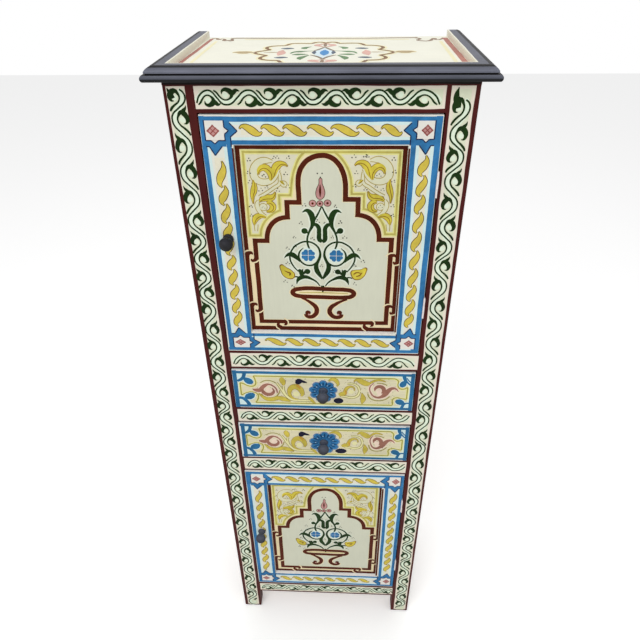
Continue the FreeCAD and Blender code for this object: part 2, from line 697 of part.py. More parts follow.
def make_drawer_side(label, side, opening, height):
    x = "%d * (places.drawer_box_width - sizes.drawer_side_thickness) / 2" % side
    board = new_piece(label, x, "places.front + places.drawer_side_start", opening + " + sizes.front_gap")
    length = "(places.drawer_box_end - places.drawer_side_start)"
    size = ("sizes.drawer_side_thickness", length, height + " - sizes.drawer_side_drop")
    block(board, "Additive", "board", size, ("0", "0", "0"))
    across = "%d * (sizes.drawer_side_thickness - sizes.drawer_groove) / 2" % -side
    size = ("sizes.drawer_groove", length, "sizes.drawer_bottom_thickness")
    block(board, "Subtractive", "bottom_groove", size, (across, "0", "sizes.drawer_bottom_height"))
    return board


def make_drawer_back(label, opening, height):
    y = "places.front + places.drawer_box_end - sizes.drawer_side_thickness"
    rise = "(sizes.drawer_bottom_height + sizes.drawer_bottom_thickness)"
    back = new_piece(label, "0", y, "%s + sizes.front_gap + %s" % (opening, rise))
    size = (
        "places.drawer_box_width - 2 * sizes.drawer_side_thickness",
        "sizes.drawer_side_thickness",
        "%s - sizes.drawer_side_drop - %s" % (height, rise),
    )
    block(back, "Additive", "board", size, ("0", "0", "0"))
    return back


def make_drawer_bottom(label, opening):
    start = "sizes.drawer_front_thickness - sizes.front_proud - sizes.drawer_groove + sizes.joint_play"
    z = opening + " + sizes.front_gap + sizes.drawer_bottom_height"
    bottom = new_piece(label, "0", "places.front + " + start, z)
    inner = "(places.drawer_box_width - 2 * sizes.drawer_side_thickness)"
    reach = "(sizes.drawer_groove - sizes.joint_play)"
    behind = "sizes.drawer_groove - sizes.joint_play"
    size = (inner, "places.drawer_box_end - (%s)" % start, "sizes.drawer_bottom_thickness")
    block(bottom, "Additive", "board", size, ("0", "0", "0"))
    size = (
        "%s + 2 * %s" % (inner, reach),
        "places.drawer_box_end - (%s) - (%s)" % (start, behind),
        "sizes.drawer_bottom_thickness",
    )
    block(bottom, "Additive", "side_tongues", size, ("0", behind, "0"))
    return bottom


# Panel pins: driven level through the moulding into the top board, and through the back
# into the posts and rails. All of them are alike.
def drive_nail(nails, x, y, z, turn, inward):
    """One pin: its head at the given place and its shank driven the way inward points."""
    rod(nails, "Additive", "head", "sizes.nail_head_radius", "sizes.nail_head_height", (x, y, z), turn)
    along_x, along_y = inward
    start_x = "%s + %d * sizes.nail_head_height" % (x, along_x)
    start_y = "%s + %d * sizes.nail_head_height" % (y, along_y)
    length = "sizes.nail_length - sizes.nail_head_height"
    rod(nails, "Additive", "shank", "sizes.nail_radius", length, (start_x, start_y, z), turn)


def make_panel_pins():
    nails = new_piece("panel_pins", "0", "0", "0")
    backward = FreeCAD.Rotation(FreeCAD.Vector(1, 0, 0), -90)
    forward = FreeCAD.Rotation(FreeCAD.Vector(1, 0, 0), 90)
    level = "places.moulding_base + sizes.torus_height / 2"
    sink = "(places.overhang - sizes.nail_sink)"
    span = "(sizes.body_width - 2 * sizes.nail_margin)"
    for share in (0, 1 / 3, 2 / 3, 1):
        x = "%.9f * %s - %s / 2" % (share, span, span)
        drive_nail(nails, x, "places.front - " + sink, level, backward, (0, 1))
    span = "(sizes.body_depth - 2 * sizes.nail_margin)"
    for name, side in SIDES:
        turn = FreeCAD.Rotation(FreeCAD.Vector(0, 1, 0), -90 * side)
        for share in (0, 1 / 2, 1):
            y = "places.front + sizes.nail_margin + %.9f * %s" % (share, span)
            x = "%d * (sizes.body_width / 2 + %s)" % (side, sink)
            drive_nail(nails, x, y, level, turn, (-side, 0))
    span = "(%s - 2 * sizes.nail_margin)" % PANEL_HEIGHT
    for name, side in SIDES:
        x = "%d * (places.opening_width + sizes.back_lap) / 2" % side
        for share in (0, 1 / 4, 1 / 2, 3 / 4, 1):
            z = "sizes.foot_height + sizes.nail_margin + %.9f * %s" % (share, span)
            drive_nail(nails, x, "places.rear - sizes.nail_sink", z, forward, (0, -1))
    for rail, base, height in REAR_RAILS:
        for share in (-1, 0, 1):
            x = "%d * places.opening_width / 4" % share
            z = "%s + %s / 2" % (base, height)
            drive_nail(nails, x, "places.rear - sizes.nail_sink", z, forward, (0, -1))
    return nails


def make_carcass():
    pieces = []
    for name, side in SIDES:
        pieces.append(make_post("front_post_" + name, side, FRONT_RAILS, FRONT_RAIL_THICKNESS, True))
        pieces.append(make_post("rear_post_" + name, side, REAR_RAILS, REAR_RAIL_THICKNESS, False))
        pieces.append(make_side_panel("side_panel_" + name, side))
        pieces.append(make_shelf_cleat("shelf_cleat_" + name, side))
        pieces.append(make_side_moulding("moulding_" + name, side))
        for drawer in ("upper", "lower"):
            opening = "places.%s_drawer_opening" % drawer
            pieces.append(make_runner("%s_runner_%s" % (drawer, name), side, opening))
    for name, base, height in FRONT_RAILS:
        pieces.append(make_rail(name, base, height, "places.front", FRONT_RAIL_THICKNESS))
    for name, base, height in REAR_RAILS:
        pieces.append(make_rail(name, base, height, "places.rear_frame", REAR_RAIL_THICKNESS))
    pieces.append(make_back_panel())
    pieces.append(make_floor("upper_floor", "places.upper_door_opening", True))
    pieces.append(make_floor("lower_floor", "places.lower_door_opening", False))
    pieces.append(make_shelf())
    pieces.append(make_top_board())
    pieces.append(make_front_moulding())
    pieces.append(make_door_stops())
    pieces.append(make_panel_pins())
    return pieces


def hinge_heights(door):
    """The middle heights of the lower and the upper hinge of one door."""
    base = "places.%s_door_opening + sizes.front_gap" % door
    return (
        "(%s + sizes.hinge_inset)" % base,
        "(%s + sizes.%s_door_height - sizes.hinge_inset)" % (base, door),
    )


def make_door(door):
    opening = "places.%s_door_opening" % door
    height = "sizes.%s_door_height" % door
    knob_height = "sizes.%s_knob_height" % door
    base = opening + " + sizes.front_gap"
    above = "%s + %s - sizes.door_rail_height" % (base, height)
    knob_x = "(sizes.stile_width - places.front_width) / 2"
    pieces = [
        make_stile(door + "_door_lock_stile", -1, opening, height, knob_height),
        make_stile(door + "_door_hinge_stile", 1, opening, height, None),
        make_door_rail(door + "_door_bottom_rail", base, False),
        make_door_rail(door + "_door_top_rail", above, True),
        make_door_panel(door + "_door_panel", opening, height),
        make_knob(door + "_door_knob", knob_x, "%s + %s" % (base, knob_height)),
        make_hinge_leaves(door + "_door_hinge_leaves", -1, hinge_heights(door)),
        make_hinge_screws(door + "_door_hinge_screws", -1, hinge_heights(door)),
    ]
    return pieces


def make_drawer(drawer):
    opening = "places.%s_drawer_opening" % drawer
    height = "sizes.%s_drawer_height" % drawer
    middle = "%s + sizes.front_gap + %s / 2" % (opening, height)
    pieces = [
        make_drawer_front(drawer + "_drawer_front", opening, height),
        make_drawer_back(drawer + "_drawer_back", opening, height),
        make_drawer_bottom(drawer + "_drawer_bottom", opening),
        make_knob(drawer + "_drawer_knob", "0", middle),
    ]
    for name, side in SIDES:
        pieces.append(make_drawer_side("%s_drawer_%s_side" % (drawer, name), side, opening, height))
    return pieces


def make_frame_hinges():
    heights = hinge_heights("lower") + hinge_heights("upper")
    return [
        make_hinge_leaves("hinge_frame_leaves", 1, heights),
        make_hinge_screws("frame_hinge_screws", 1, heights),
        make_hinge_pins("hinge_pins", heights),
    ]


def check(pieces):
    """Stop if any object failed or any piece is not one or more valid closed solids."""
    for item in document.Objects:
        if "Invalid" in item.State or "Error" in item.State:
            raise RuntimeError("failed object: " + item.Label)
    for piece in pieces:
        if piece.Shape.isNull() or not piece.Shape.isValid() or not piece.Shape.Solids:
            raise RuntimeError("bad shape: " + piece.Label)


pieces = make_carcass()
pieces += make_frame_hinges()
for level in ("upper", "lower"):
    pieces += make_door(level)
    pieces += make_drawer(level)
document.recompute()
check(pieces)
os.makedirs("parts", exist_ok=True)
for piece in pieces:
    piece.Shape.exportStep("parts/%s.step" % piece.Label)
print("%d pieces written" % len(pieces))
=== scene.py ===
import math
import random
import bmesh
import bpy
from mathutils import Matrix, Vector


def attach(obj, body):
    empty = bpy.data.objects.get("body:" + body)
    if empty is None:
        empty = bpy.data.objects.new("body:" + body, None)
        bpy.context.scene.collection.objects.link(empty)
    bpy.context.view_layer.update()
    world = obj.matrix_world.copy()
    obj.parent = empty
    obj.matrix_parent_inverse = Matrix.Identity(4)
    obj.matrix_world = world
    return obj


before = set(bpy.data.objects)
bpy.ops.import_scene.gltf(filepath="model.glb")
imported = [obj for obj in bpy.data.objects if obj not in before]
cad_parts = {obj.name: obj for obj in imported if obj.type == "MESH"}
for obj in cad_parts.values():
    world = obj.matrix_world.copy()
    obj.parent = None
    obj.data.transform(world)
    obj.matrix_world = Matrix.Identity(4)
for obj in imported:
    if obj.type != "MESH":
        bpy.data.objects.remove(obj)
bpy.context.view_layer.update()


# Inner woodwork: rear rails, runners, floors, shelf, cleats, stops and drawer boxes are planed
# pine left bare, glued and nailed together; the back and the drawer bottoms are plywood.
def paint_colour(code):
    """A colour written as on a paint card, rrggbb, as the shader's linear one."""
    levels = [int(code[start:start + 2], 16) / 255 for start in (0, 2, 4)]
    return [level / 12.92 if level <= 0.04045 else ((level + 0.055) / 1.055) ** 2.4 for level in levels] + [1]


def new_group(name, inputs, outputs):
    """An effect that several finishes share, with its sockets."""
    group = bpy.data.node_groups.new(name, "ShaderNodeTree")
    for label, kind in inputs:
        group.interface.new_socket(label, in_out="INPUT", socket_type="NodeSocket" + kind)
    for label, kind in outputs:
        group.interface.new_socket(label, in_out="OUTPUT", socket_type="NodeSocket" + kind)
    return group


def add_node(tree, kind, settings=(), values=(), links=()):
    """A node with its settings, its sockets' values and what feeds them."""
    node = tree.nodes.new("ShaderNode" + kind)
    for name, value in dict(settings).items():
        setattr(node, name, value)
    for name, value in dict(values).items():
        node.inputs[name].default_value = value
    for name, source in dict(links).items():
        tree.links.new(source, node.inputs[name])
    return node


def where_on(tree):
    """A point's place on its piece, in metres from the middle of the cabinet's foot."""
    return add_node(tree, "TexCoord").outputs["Object"]


def worked_out(tree, operation, *terms):
    """A sum of sockets and plain numbers."""
    node = add_node(tree, "Math", {"operation": operation})
    for number, term in enumerate(terms):
        if isinstance(term, float):
            node.inputs[number].default_value = term
        else:
            tree.links.new(term, node.inputs[number])
    return node.outputs[0]


def between(tree, value, start, end, low, high):
    """What goes from low to high while the value goes from start to end."""
    ramp = add_node(tree, "MapRange", (), {"From Min": start, "From Max": end, "To Min": low, "To Max": high},
                    {"Value": value})
    return ramp.outputs[0]


def mixed(tree, amount, under, over):
    """The second colour over the first by an amount; each is a socket or a code as on a paint card."""
    node = add_node(tree, "Mix", {"data_type": "RGBA"}, (), {0: amount})
    for number, colour in ((6, under), (7, over)):
        if isinstance(colour, str):
            node.inputs[number].default_value = paint_colour(colour)
        else:
            tree.links.new(colour, node.inputs[number])
    return node.outputs[2]


def noise(tree, place, scale, detail, **others):
    values = {"Scale": scale, "Detail": detail, **others}
    return add_node(tree, "TexNoise", (), values, {"Vector": place}).outputs["Fac"]


def put_out(group, **sources):
    """Ties what an effect works out to its output sockets."""
    out = group.nodes.new("NodeGroupOutput")
    for label, source in sources.items():
        group.links.new(source, out.inputs[label])
    return group


def make_wood_grain():
    group = new_group("wood_grain", (("Early", "Color"), ("Late", "Color"), ("Along", "Vector")),
                      (("Colour", "Color"), ("Height", "Float")))
    ends = group.nodes.new("NodeGroupInput").outputs
    drawn = add_node(group, "VectorMath", {"operation": "MULTIPLY"}, (),
                     {0: where_on(group), 1: ends["Along"]})
    rings = noise(group, drawn.outputs["Vector"], 1.0, 4.0, Distortion=0.6)
    fibre = noise(group, drawn.outputs["Vector"], 7.0, 2.0)
    tone = add_node(group, "Math", {"operation": "ADD", "use_clamp": True}, (), {
        0: between(group, rings, 0.35, 0.68, 0.0, 1.0), 1: between(group, fibre, 0.4, 0.75, 0.0, 0.45)})
    return put_out(group, Colour=mixed(group, tone.outputs[0], ends["Early"], ends["Late"]), Height=fibre)


def add_bump(tree, shader, height, strength, depth):
    bump = add_node(tree, "Bump", (), {"Strength": strength, "Distance": depth}, {"Height": height})
    tree.links.new(bump.outputs[0], shader.inputs["Normal"])


def new_finish(name, roughness, specular=0.4):
    finish = bpy.data.materials.new(name)
    finish.use_nodes = True
    shader = finish.node_tree.nodes["Principled BSDF"]
    shader.inputs["Roughness"].default_value = roughness
    shader.inputs["Specular IOR Level"].default_value = specular
    return finish, finish.node_tree, shader


wood_grain = make_wood_grain()


def bare_wood(name, early, late, along):
    finish, tree, shader = new_finish(name, 0.72, 0.25)
    grain = add_node(tree, "Group", {"node_tree": wood_grain}, {
        "Early": paint_colour(early), "Late": paint_colour(late), "Along": along})
    tree.links.new(grain.outputs["Colour"], shader.inputs["Base Color"])
    add_bump(tree, shader, grain.outputs["Height"], 0.25, 0.0002)
    return finish


def dress(finish, *names):
    for name in names:
        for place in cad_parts[name].material_slots:
            place.material = finish


pine_along_x = bare_wood("pine_along_x", "d9b98a", "b98c58", (5, 70, 90))
pine_along_y = bare_wood("pine_along_y", "d9b98a", "b98c58", (70, 5, 90))
plywood_along_z = bare_wood("plywood_along_z", "cdb48c", "b89464", (60, 60, 4))
dress(pine_along_x, "bottom_rear_rail", "top_rear_rail", "shelf", "door_stops")
dress(plywood_along_z, "back_panel")
for side in ("left", "right"):
    dress(pine_along_y, "shelf_cleat_" + side)
for which in ("upper", "lower"):
    dress(pine_along_x, which + "_floor", which + "_drawer_back")
    dress(plywood_along_z, which + "_drawer_bottom")
    for side in ("left", "right"):
        dress(pine_along_y, which + "_runner_" + side, which + "_drawer_" + side + "_side")


# Front posts: square pine posts painted cream, with maroon lines along both edges and a vine
# that climbs between them. All painting is brushed on by hand over the ground.
MM = 0.001
FRAME_Y, DOOR_Y, PANEL_Y = -118.25, -120.25, -112.75
POST_TOP = 1226
# A film of paint: its underside lies this far in the wood, a stroke is thicker along its middle, and
# no two dots that touch end at one height. A hand holds a straight line for about the given length
SUNK, RIDGE, DOT_STEP, STEADY_RUN = -0.1, 0.02, 0.002, 24
hand = random.Random(11)


def front_face(depth):
    """From a flat drawing (across, up, proud of the face) to its place on the cabinet's front."""
    return Matrix(((1, 0, 0, 0), (0, 0, -1, depth), (0, 1, 0, 0), (0, 0, 0, 1)))


def make_brushwork():
    group = new_group("brushwork", (("Paint", "Color"), ("Along", "Vector"), ("Contrast", "Float")),
                      (("Colour", "Color"), ("Height", "Float"), ("Roughness", "Float")))
    ends = group.nodes.new("NodeGroupInput").outputs
    place = where_on(group)
    drawn = add_node(group, "VectorMath", {"operation": "MULTIPLY"}, (), {0: place, 1: ends["Along"]})
    streaks = noise(group, drawn.outputs["Vector"], 1.0, 3.0, Roughness=0.6)
    both = worked_out(group, "ADD", streaks, noise(group, place, 17.0, 2.0))
    swing = between(group, both, 0.7, 1.3, -1.0, 1.0)
    value = worked_out(group, "MULTIPLY_ADD", swing, ends["Contrast"], 1.0)
    tint = add_node(group, "HueSaturation", (), (), {"Value": value, "Color": ends["Paint"]})
    return put_out(group, Colour=tint.outputs[0], Height=streaks,
                   Roughness=between(group, streaks, 0.0, 1.0, 0.45, 0.65))


brushwork = make_brushwork()
BRUSHED = {"up": (260, 260, 30), "across": (30, 260, 260), "round": (120, 120, 120)}


def brushed(tree, code, way, contrast):
    """Paint in one colour, streaked the way that the brush went."""
    return add_node(tree, "Group", {"node_tree": brushwork}, {
        "Paint": paint_colour(code), "Along": BRUSHED[way], "Contrast": contrast})


def brush_on(tree, shader, colour, brush, strength=0.4, depth=0.00006):
    """Gives a finish its colour, and the sheen and the marks of the brush that laid it."""
    tree.links.new(colour, shader.inputs["Base Color"])
    tree.links.new(brush.outputs["Roughness"], shader.inputs["Roughness"])
    add_bump(tree, shader, brush.outputs["Height"], strength, depth)


def new_paint(name, code, contrast, way="round"):
    finish, tree, shader = new_finish(name, 0.55, 0.1)
    brush = brushed(tree, code, way, contrast)
    brush_on(tree, shader, brush.outputs["Colour"], brush)
    return finish


def merge_film(film, mesh, lift, ridge=0.0):
    """Adds a drawn shape to a film of paint: its top at the lift, its underside in the wood."""
    part = bmesh.new()
    part.from_mesh(mesh)
    bmesh.ops.remove_doubles(part, verts=part.verts, dist=1e-6)
    for corner in part.verts:
        side = (corner.co.z > 1e-7) - (corner.co.z < -1e-7)
        corner.co.z = (SUNK, lift, lift + ridge)[side + 1] * MM
    bmesh.ops.recalc_face_normals(part, faces=part.faces)
    for face in part.faces:
        face.smooth = False
    part.to_mesh(mesh)
    part.free()
    film.from_mesh(mesh)
    bpy.data.meshes.remove(mesh)


def drawn_curve(name, kind):
    curve = bpy.data.curves.new(name, "CURVE")
    curve.dimensions = kind
    curve.resolution_u = 5
    return curve


def add_line(curve, points, closed, corners):
    line = curve.splines.new("BEZIER")
    line.bezier_points.add(len(points) - 1)
    for spot, point in zip(line.bezier_points, points):
        spot.co = (point[0] * MM, point[1] * MM, 0)
        spot.radius = point[2] if len(point) > 2 else 1
        spot.handle_left_type = spot.handle_right_type = "VECTOR" if corners else "AUTO"
    line.use_cyclic_u = closed
    line.radius_interpolation = "CARDINAL"


def as_mesh(curve):
    holder = bpy.data.objects.new(curve.name, curve)
    mesh = bpy.data.meshes.new_from_object(holder)
    bpy.data.objects.remove(holder)
    bpy.data.curves.remove(curve)
    return mesh


def lay(name, body, finish, face, lift, strokes=(), rings=(), areas=(), blobs=(), dots=()):
    """One colour of the painting on one piece, in millimetres on its face. Strokes and rings are
    (across, up, brush radius) along the brush's way, areas are cornered outlines, blobs are
    rounded outlines and dots are touches of the brush's tip."""
    film = bmesh.new()
    if strokes or rings:
        curve = drawn_curve(name, "3D")
        curve.bevel_depth = MM
        curve.bevel_resolution = 0
        curve.use_fill_caps = True
        curve.twist_mode = "Z_UP"
        for points in strokes:
            add_line(curve, points, False, False)
        for points in rings:
            add_line(curve, points, True, False)
        merge_film(film, as_mesh(curve), lift, RIDGE)
    for points, corners in [(area, True) for area in areas] + [(blob, False) for blob in blobs]:
        curve = drawn_curve(name, "2D")
        curve.fill_mode = "BOTH"
        curve.extrude = -SUNK * MM
        add_line(curve, points, True, corners)
        merge_film(film, as_mesh(curve), lift)
    for number, (across, up, radius) in enumerate(dots):
        top = lift + DOT_STEP * (number % 11)
        middle = Matrix.Translation((across * MM, up * MM, (top + SUNK) / 2 * MM))
        bmesh.ops.create_cone(film, cap_ends=True, segments=6 if radius < 1 else 14, radius1=radius * MM,
                              radius2=radius * 0.9 * MM, depth=(top - SUNK) * MM, matrix=middle)
    place = face.copy()
    place.translation = face.translation * MM
    bmesh.ops.transform(film, matrix=place, verts=film.verts)
    mesh = bpy.data.meshes.new(name)
    film.to_mesh(mesh)
    film.free()
    mesh.materials.append(finish)
    piece = bpy.data.objects.new(name, mesh)
    bpy.context.scene.collection.objects.link(piece)
    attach(piece, body)


def painter(piece, body, face):
    """Lays colours on one piece: each call names the colour's shapes, finish, lift and strokes."""
    def paint(name, finish, lift, *strokes, **others):
        lay(piece + "_" + name, body, finish, face, lift, *strokes, **others)
    return paint


def moved(strokes, across=0.0, up=0.0, spread=1.0, thicker=0.0):
    """The same strokes moved, spread or mirrored, or laid with a broader brush."""
    return [[(spread * s[0] + across, s[1] + up) + tuple(r + thicker for r in s[2:]) for s in line]
            for line in strokes]


def band(start, end, width, reach=0.0, sway=0.25):
    """A straight line of paint, as steady as a hand draws it."""
    run = Vector(end) - Vector(start)
    along = run.normalized()
    across = Vector((-along.y, along.x))
    first = Vector(start) - along * reach
    total = run.length + 2 * reach
    steps = max(1, round(total / STEADY_RUN))
    points = []
    for step in range(steps + 1):
        wander = hand.uniform(-sway, sway) if 0 < step < steps else 0
        spot = first + along * (total * step / steps) + across * wander
        points.append((spot.x, spot.y, width / 2 + hand.uniform(-0.4, 0.4) * sway))
    return points


def above(tree, value, edge, soft=0.0002):
    """1 where the value is over the edge, which is a number or another value."""
    return between(tree, worked_out(tree, "SUBTRACT", value, edge), -soft, soft, 0.0, 1.0)


def below(tree, value, edge, soft=0.0002):
    return worked_out(tree, "SUBTRACT", 1.0, above(tree, value, edge, soft))


def either(tree, *masks):
    joined = masks[0]
    for mask in masks[1:]:
        joined = worked_out(tree, "MAXIMUM", joined, mask)
    return joined


def outside(tree, value, low, high):
    """1 where the value is under low or over high: a field's painted border."""
    return either(tree, above(tree, value, high), below(tree, value, low))


def by_hand(tree, value, amount=0.0011, scale=22.0):
    """A coordinate that sways a little, so that a line at a fixed value looks drawn by hand."""
    sway = noise(tree, where_on(tree), scale, 1.0)
    return worked_out(tree, "ADD", value, between(tree, sway, 0.0, 1.0, -amount, amount))


def split_place(tree):
    """Across, in and up, as three sockets named X, Y and Z."""
    return add_node(tree, "SeparateXYZ", (), (), {0: where_on(tree)}).outputs


def lined_paint(name, ground, line, way, make_mask):
    """A ground with a second paint where the mask is 1."""
    finish, tree, shader = new_finish(name, 0.55, 0.12)
    mask = make_mask(tree, split_place(tree))
    lower, upper = brushed(tree, ground, way, 0.035), brushed(tree, line, way, 0.2)
    brush_on(tree, shader, mixed(tree, mask, lower.outputs["Colour"], upper.outputs["Colour"]), lower)
    return finish


GROUND = "e3dac9"
STRIPE = "461311"
# In metres: a post's outer side lies further out than this. It is cream between two depths, first
# a front post's and then a rear one's, and between two heights
POST_OUTSIDE = 0.1998
FRONT_POST_FIELD, REAR_POST_FIELD = (-0.1128, -0.0838), (0.1142, 0.1438)
POST_ENDS = 0.0065, 1.2258


def with_side(tree, split, front, near, far):
    """The lines drawn on a post's front, and on its outer side a line along both edges."""
    width = worked_out(tree, "ABSOLUTE", split["X"])
    edges = outside(tree, by_hand(tree, split["Y"]), near, far)
    shared = add_node(tree, "Mix", {"data_type": "FLOAT"}, (), {
        0: above(tree, width, POST_OUTSIDE, 0.00005), 2: front, 3: edges})
    return either(tree, shared.outputs[0], outside(tree, by_hand(tree, split["Z"]), *POST_ENDS))


def dress_front_post(name, left_line, right_line):
    """A post's ground, whose lines drift a little: each from a height on, from here to there."""
    def lines(tree, split):
        across = by_hand(tree, split["X"])
        edges = [between(tree, split["Z"], start, POST_TOP * MM, low, high)
                 for start, low, high in (left_line, right_line)]
        return with_side(tree, split, outside(tree, across, *edges), *FRONT_POST_FIELD)

    dress(lined_paint(name + "_paint", GROUND, STRIPE, "up", lines), name)


dress_front_post("front_post_left", (0.9, -0.1925, -0.1955), (0.6, -0.1655, -0.1712))
dress_front_post("front_post_right", (0.8, 0.1672, 0.1637), (0.8, 0.1950, 0.1935))

vine_green = new_paint("vine_green", "132c08", 0.45)
vine_pale = new_paint("vine_pale", "dbe8d2", 0.04)
vine_wash = new_paint("vine_wash", "d6dac0", 0.05)

# One bend of a vine, along it and in from its stem: the inner line that swells into a curled
# leaf, the leaf's tip and the light middle of its curl, first for the posts and then for the rails.
# They are drawn for stems that sway as far as given, and the posts' one for bends so far apart
POST_LEAF = ([(-23.5, 21.4, 1.1), (-19.5, 19.8, 1.6), (-13.5, 15, 1.4), (-8, 9.6, 1.2), (-1, 7.2, 1.2),
              (5.5, 8.8, 1.7), (9.5, 12.2, 2.9), (8.4, 16, 3.5), (4, 19, 3.2), (-1.5, 20, 2.6),
              (-6, 17.8, 1.5), (-6.6, 14.6, 0.4)],
             [(8.5, 13.5, 2.6), (12.5, 16.6, 2.4), (15.6, 19, 1.5), (19.5, 20.4, 0.4)], (-0.8, 13.6, 4.0))
RAIL_LEAF = ([(-15.5, 17.4, 0.9), (-12, 15, 1.2), (-8, 10, 1.1), (-4, 6.8, 1.0), (0.5, 5.8, 1.0),
              (5, 7.6, 1.3), (8, 11, 2.4), (7.2, 14.8, 3.2), (3.6, 17.4, 2.9), (-1, 18.2, 2.1),
              (-4.6, 16, 1.4), (-5, 12.8, 0.5)],
             [(7.4, 11.5, 2.2), (11, 15, 2.7), (14.6, 17.2, 2.1), (19, 16.2, 0.5)], (-0.4, 11.8, 3.8))
POST_PITCH, POST_SWAY, RAIL_SWAY = 36.5, 10.4, 8.7


def vine(bends, first_side, turn, sway, shape, pitch, starts):
    """The strokes of a vine along a strip, from the places where its stem bends; its leaves grow
    forwards up to the turn and backwards from there. The starts are how far before its first bend
    the stem begins and how far in, then how far past its last one it ends and how far in."""
    leaf, tip, middle = shape
    sides = [first_side * (-1) ** number for number in range(len(bends))]
    stem = [(bends[0] - part * starts[0], sides[0] * (sway - drop * starts[1]))
            for part, drop in ((1, 1), (0.7, 0.4))]
    stem.append((bends[0], sides[0] * sway))
    for last, bend, side in zip(bends, bends[1:], sides[1:]):
        stem += [(last + part * (bend - last), part_sway * side * sway)
                 for part, part_sway in ((0.22, -0.84), (0.5, 0.0), (0.78, 0.84), (1, 1))]
    stem += [(bends[-1] + part * starts[2], sides[-1] * (sway - drop * starts[3]))
             for part, drop in ((0.7, 0.4), (1, 1))]
    green = [[(u, v, 1.15) for u, v in stem]]
    pale = [[(u, v * (1 - 3.5 / sway), 3.3) for u, v in stem]]
    light = []
    for number, (bend, side) in enumerate(zip(bends, sides)):
        near = bends[max(number - 1, 0)], bends[min(number + 1, len(bends) - 1)]
        half = (near[1] - near[0]) / (2 if 0 < number < len(bends) - 1 else 1)
        way = 1 if bend <= turn else -1
        along, inward = way * half / pitch, sway / (POST_SWAY if shape is POST_LEAF else RAIL_SWAY) * side
        for line in (leaf, tip):
            green.append([(bend + along * u, side * sway - inward * v + hand.uniform(-0.2, 0.2),
                           r * hand.uniform(0.94, 1.06)) for u, v, r in line])
        light.append((bend + along * middle[0], side * sway - inward * middle[1], middle[2]))
    return green, pale, light


LEFT_BENDS = (17, 52, 82, 118, 155, 192, 228, 262, 293, 332, 371, 408, 446, 480, 517, 549, 582, 613, 648, 676,
              708, 744, 777, 812, 846, 885, 917, 946, 978, 1008, 1040, 1075, 1112, 1148, 1185, 1213)
RIGHT_BENDS = (32, 62, 97, 128, 163, 200, 231, 262, 293, 322, 352, 385, 420, 455, 493, 531, 578, 610, 652,
               684, 722, 755, 790, 826, 862, 897, 935, 970, 1001, 1035, 1068, 1103, 1135, 1165, 1200)


def up_post(lines, low, high):
    """From along and across the vine to a post's face, whose field drifts a little."""
    return [[(low + (high - low) * s[0] / POST_TOP + s[1], s[0]) + s[2:] for s in line] for line in lines]


def clipped(lines, low, high):
    return [line for line in lines if min(s[1] for s in line) > low and max(s[1] for s in line) < high]


# Each post's last leaf, in which its vine ends
LEFT_TIP = [(1211, -5.4, 3.2), (1216.5, -7.8, 3.0), (1220.6, -10, 1.8), (1223.6, -11.4, 0.6)]
RIGHT_TIP = [(1199, -4, 3.0), (1205.5, -5.6, 4.4), (1211.5, -8, 3.9), (1217.6, -7.6, 2.6), (1224, -5.9, 0.6)]

FRONT_POSTS = (
    # name, bends, first side, last leaf, and the middle of the vine at the foot and at the top
    ("front_post_left", LEFT_BENDS, -1, LEFT_TIP, -179.0, -182.8),
    ("front_post_right", RIGHT_BENDS, 1, RIGHT_TIP, 182.0, 178.8),
)
POST_STARTS = 13, 14, 9, 6
POST_WASH = [(5, 0, 9.6), (300, 0, 10.4), (600, 0, 10.2), (900, 0, 10.6), (1222, 0, 10.2)]
for post, bends, first_side, tip, low, high in FRONT_POSTS:
    green, pale, light = vine(bends, first_side, POST_TOP, POST_SWAY, POST_LEAF, POST_PITCH, POST_STARTS)
    paint = painter(post, "carcass", front_face(FRAME_Y))
    paint("wash", vine_wash, 0.03, up_post([POST_WASH], low, high))
    paint("vine_band", vine_pale, 0.07, up_post(pale, low, high), dots=up_post([light], low, high)[0])
    paint("vine", vine_green, 0.12, clipped(up_post(green + [tip], low, high), 0.5, POST_TOP))


# Rear posts and side panels: square pine posts, maroon behind and lined at the sides like the
# front ones, and pine boards let into their grooves, cream with a blue and a maroon frame line.

# In metres: a rear post is maroon from this depth on, and a board is cream between these heights
REAR_FACE = 0.1442
BOARD_FIELD = 0.074, 1.221


def rear_post_lines(tree, split):
    behind = above(tree, by_hand(tree, split["Y"]), REAR_FACE)
    return with_side(tree, split, behind, *REAR_POST_FIELD)


def side_panel_lines(tree, split):
    return outside(tree, by_hand(tree, split["Z"]), *BOARD_FIELD)


rear_post_paint = lined_paint("rear_post_paint", GROUND, STRIPE, "up", rear_post_lines)
side_paint = lined_paint("side_paint", GROUND, STRIPE, "up", side_panel_lines)
dress(rear_post_paint, "rear_post_left", "rear_post_right")
dress(side_paint, "side_panel_left", "side_panel_right")
side_blue = new_paint("side_blue", "33709f", 0.2, "up")
side_maroon = new_paint("side_maroon", STRIPE, 0.2, "up")
# The boards' faces, the middle of their depth, and how far their frame lines reach
SIDE_X, SIDE_MIDDLE, SIDE_HALF, SIDE_LOW, SIDE_HIGH = 195, 15.25, 78, 92, 1203
for side, turn in (("left", -1), ("right", 1)):
    paint = painter("side_" + side, "carcass", Matrix(
        ((0, 0, turn, SIDE_X * turn), (turn, 0, 0, SIDE_MIDDLE), (0, 1, 0, 0), (0, 0, 0, 1))))
    for colour, finish, in_by, width in (("blue", side_blue, 0, 7.0), ("maroon", side_maroon, 9, 2.2)):
        u, low, high = SIDE_HALF - in_by, SIDE_LOW + in_by, SIDE_HIGH - in_by
        paint(colour, finish, 0.1, [band((x, low), (x, high), width) for x in (-u, u)] +
              [band((-u, z), (u, z), width, width / 2) for z in (low, high)])


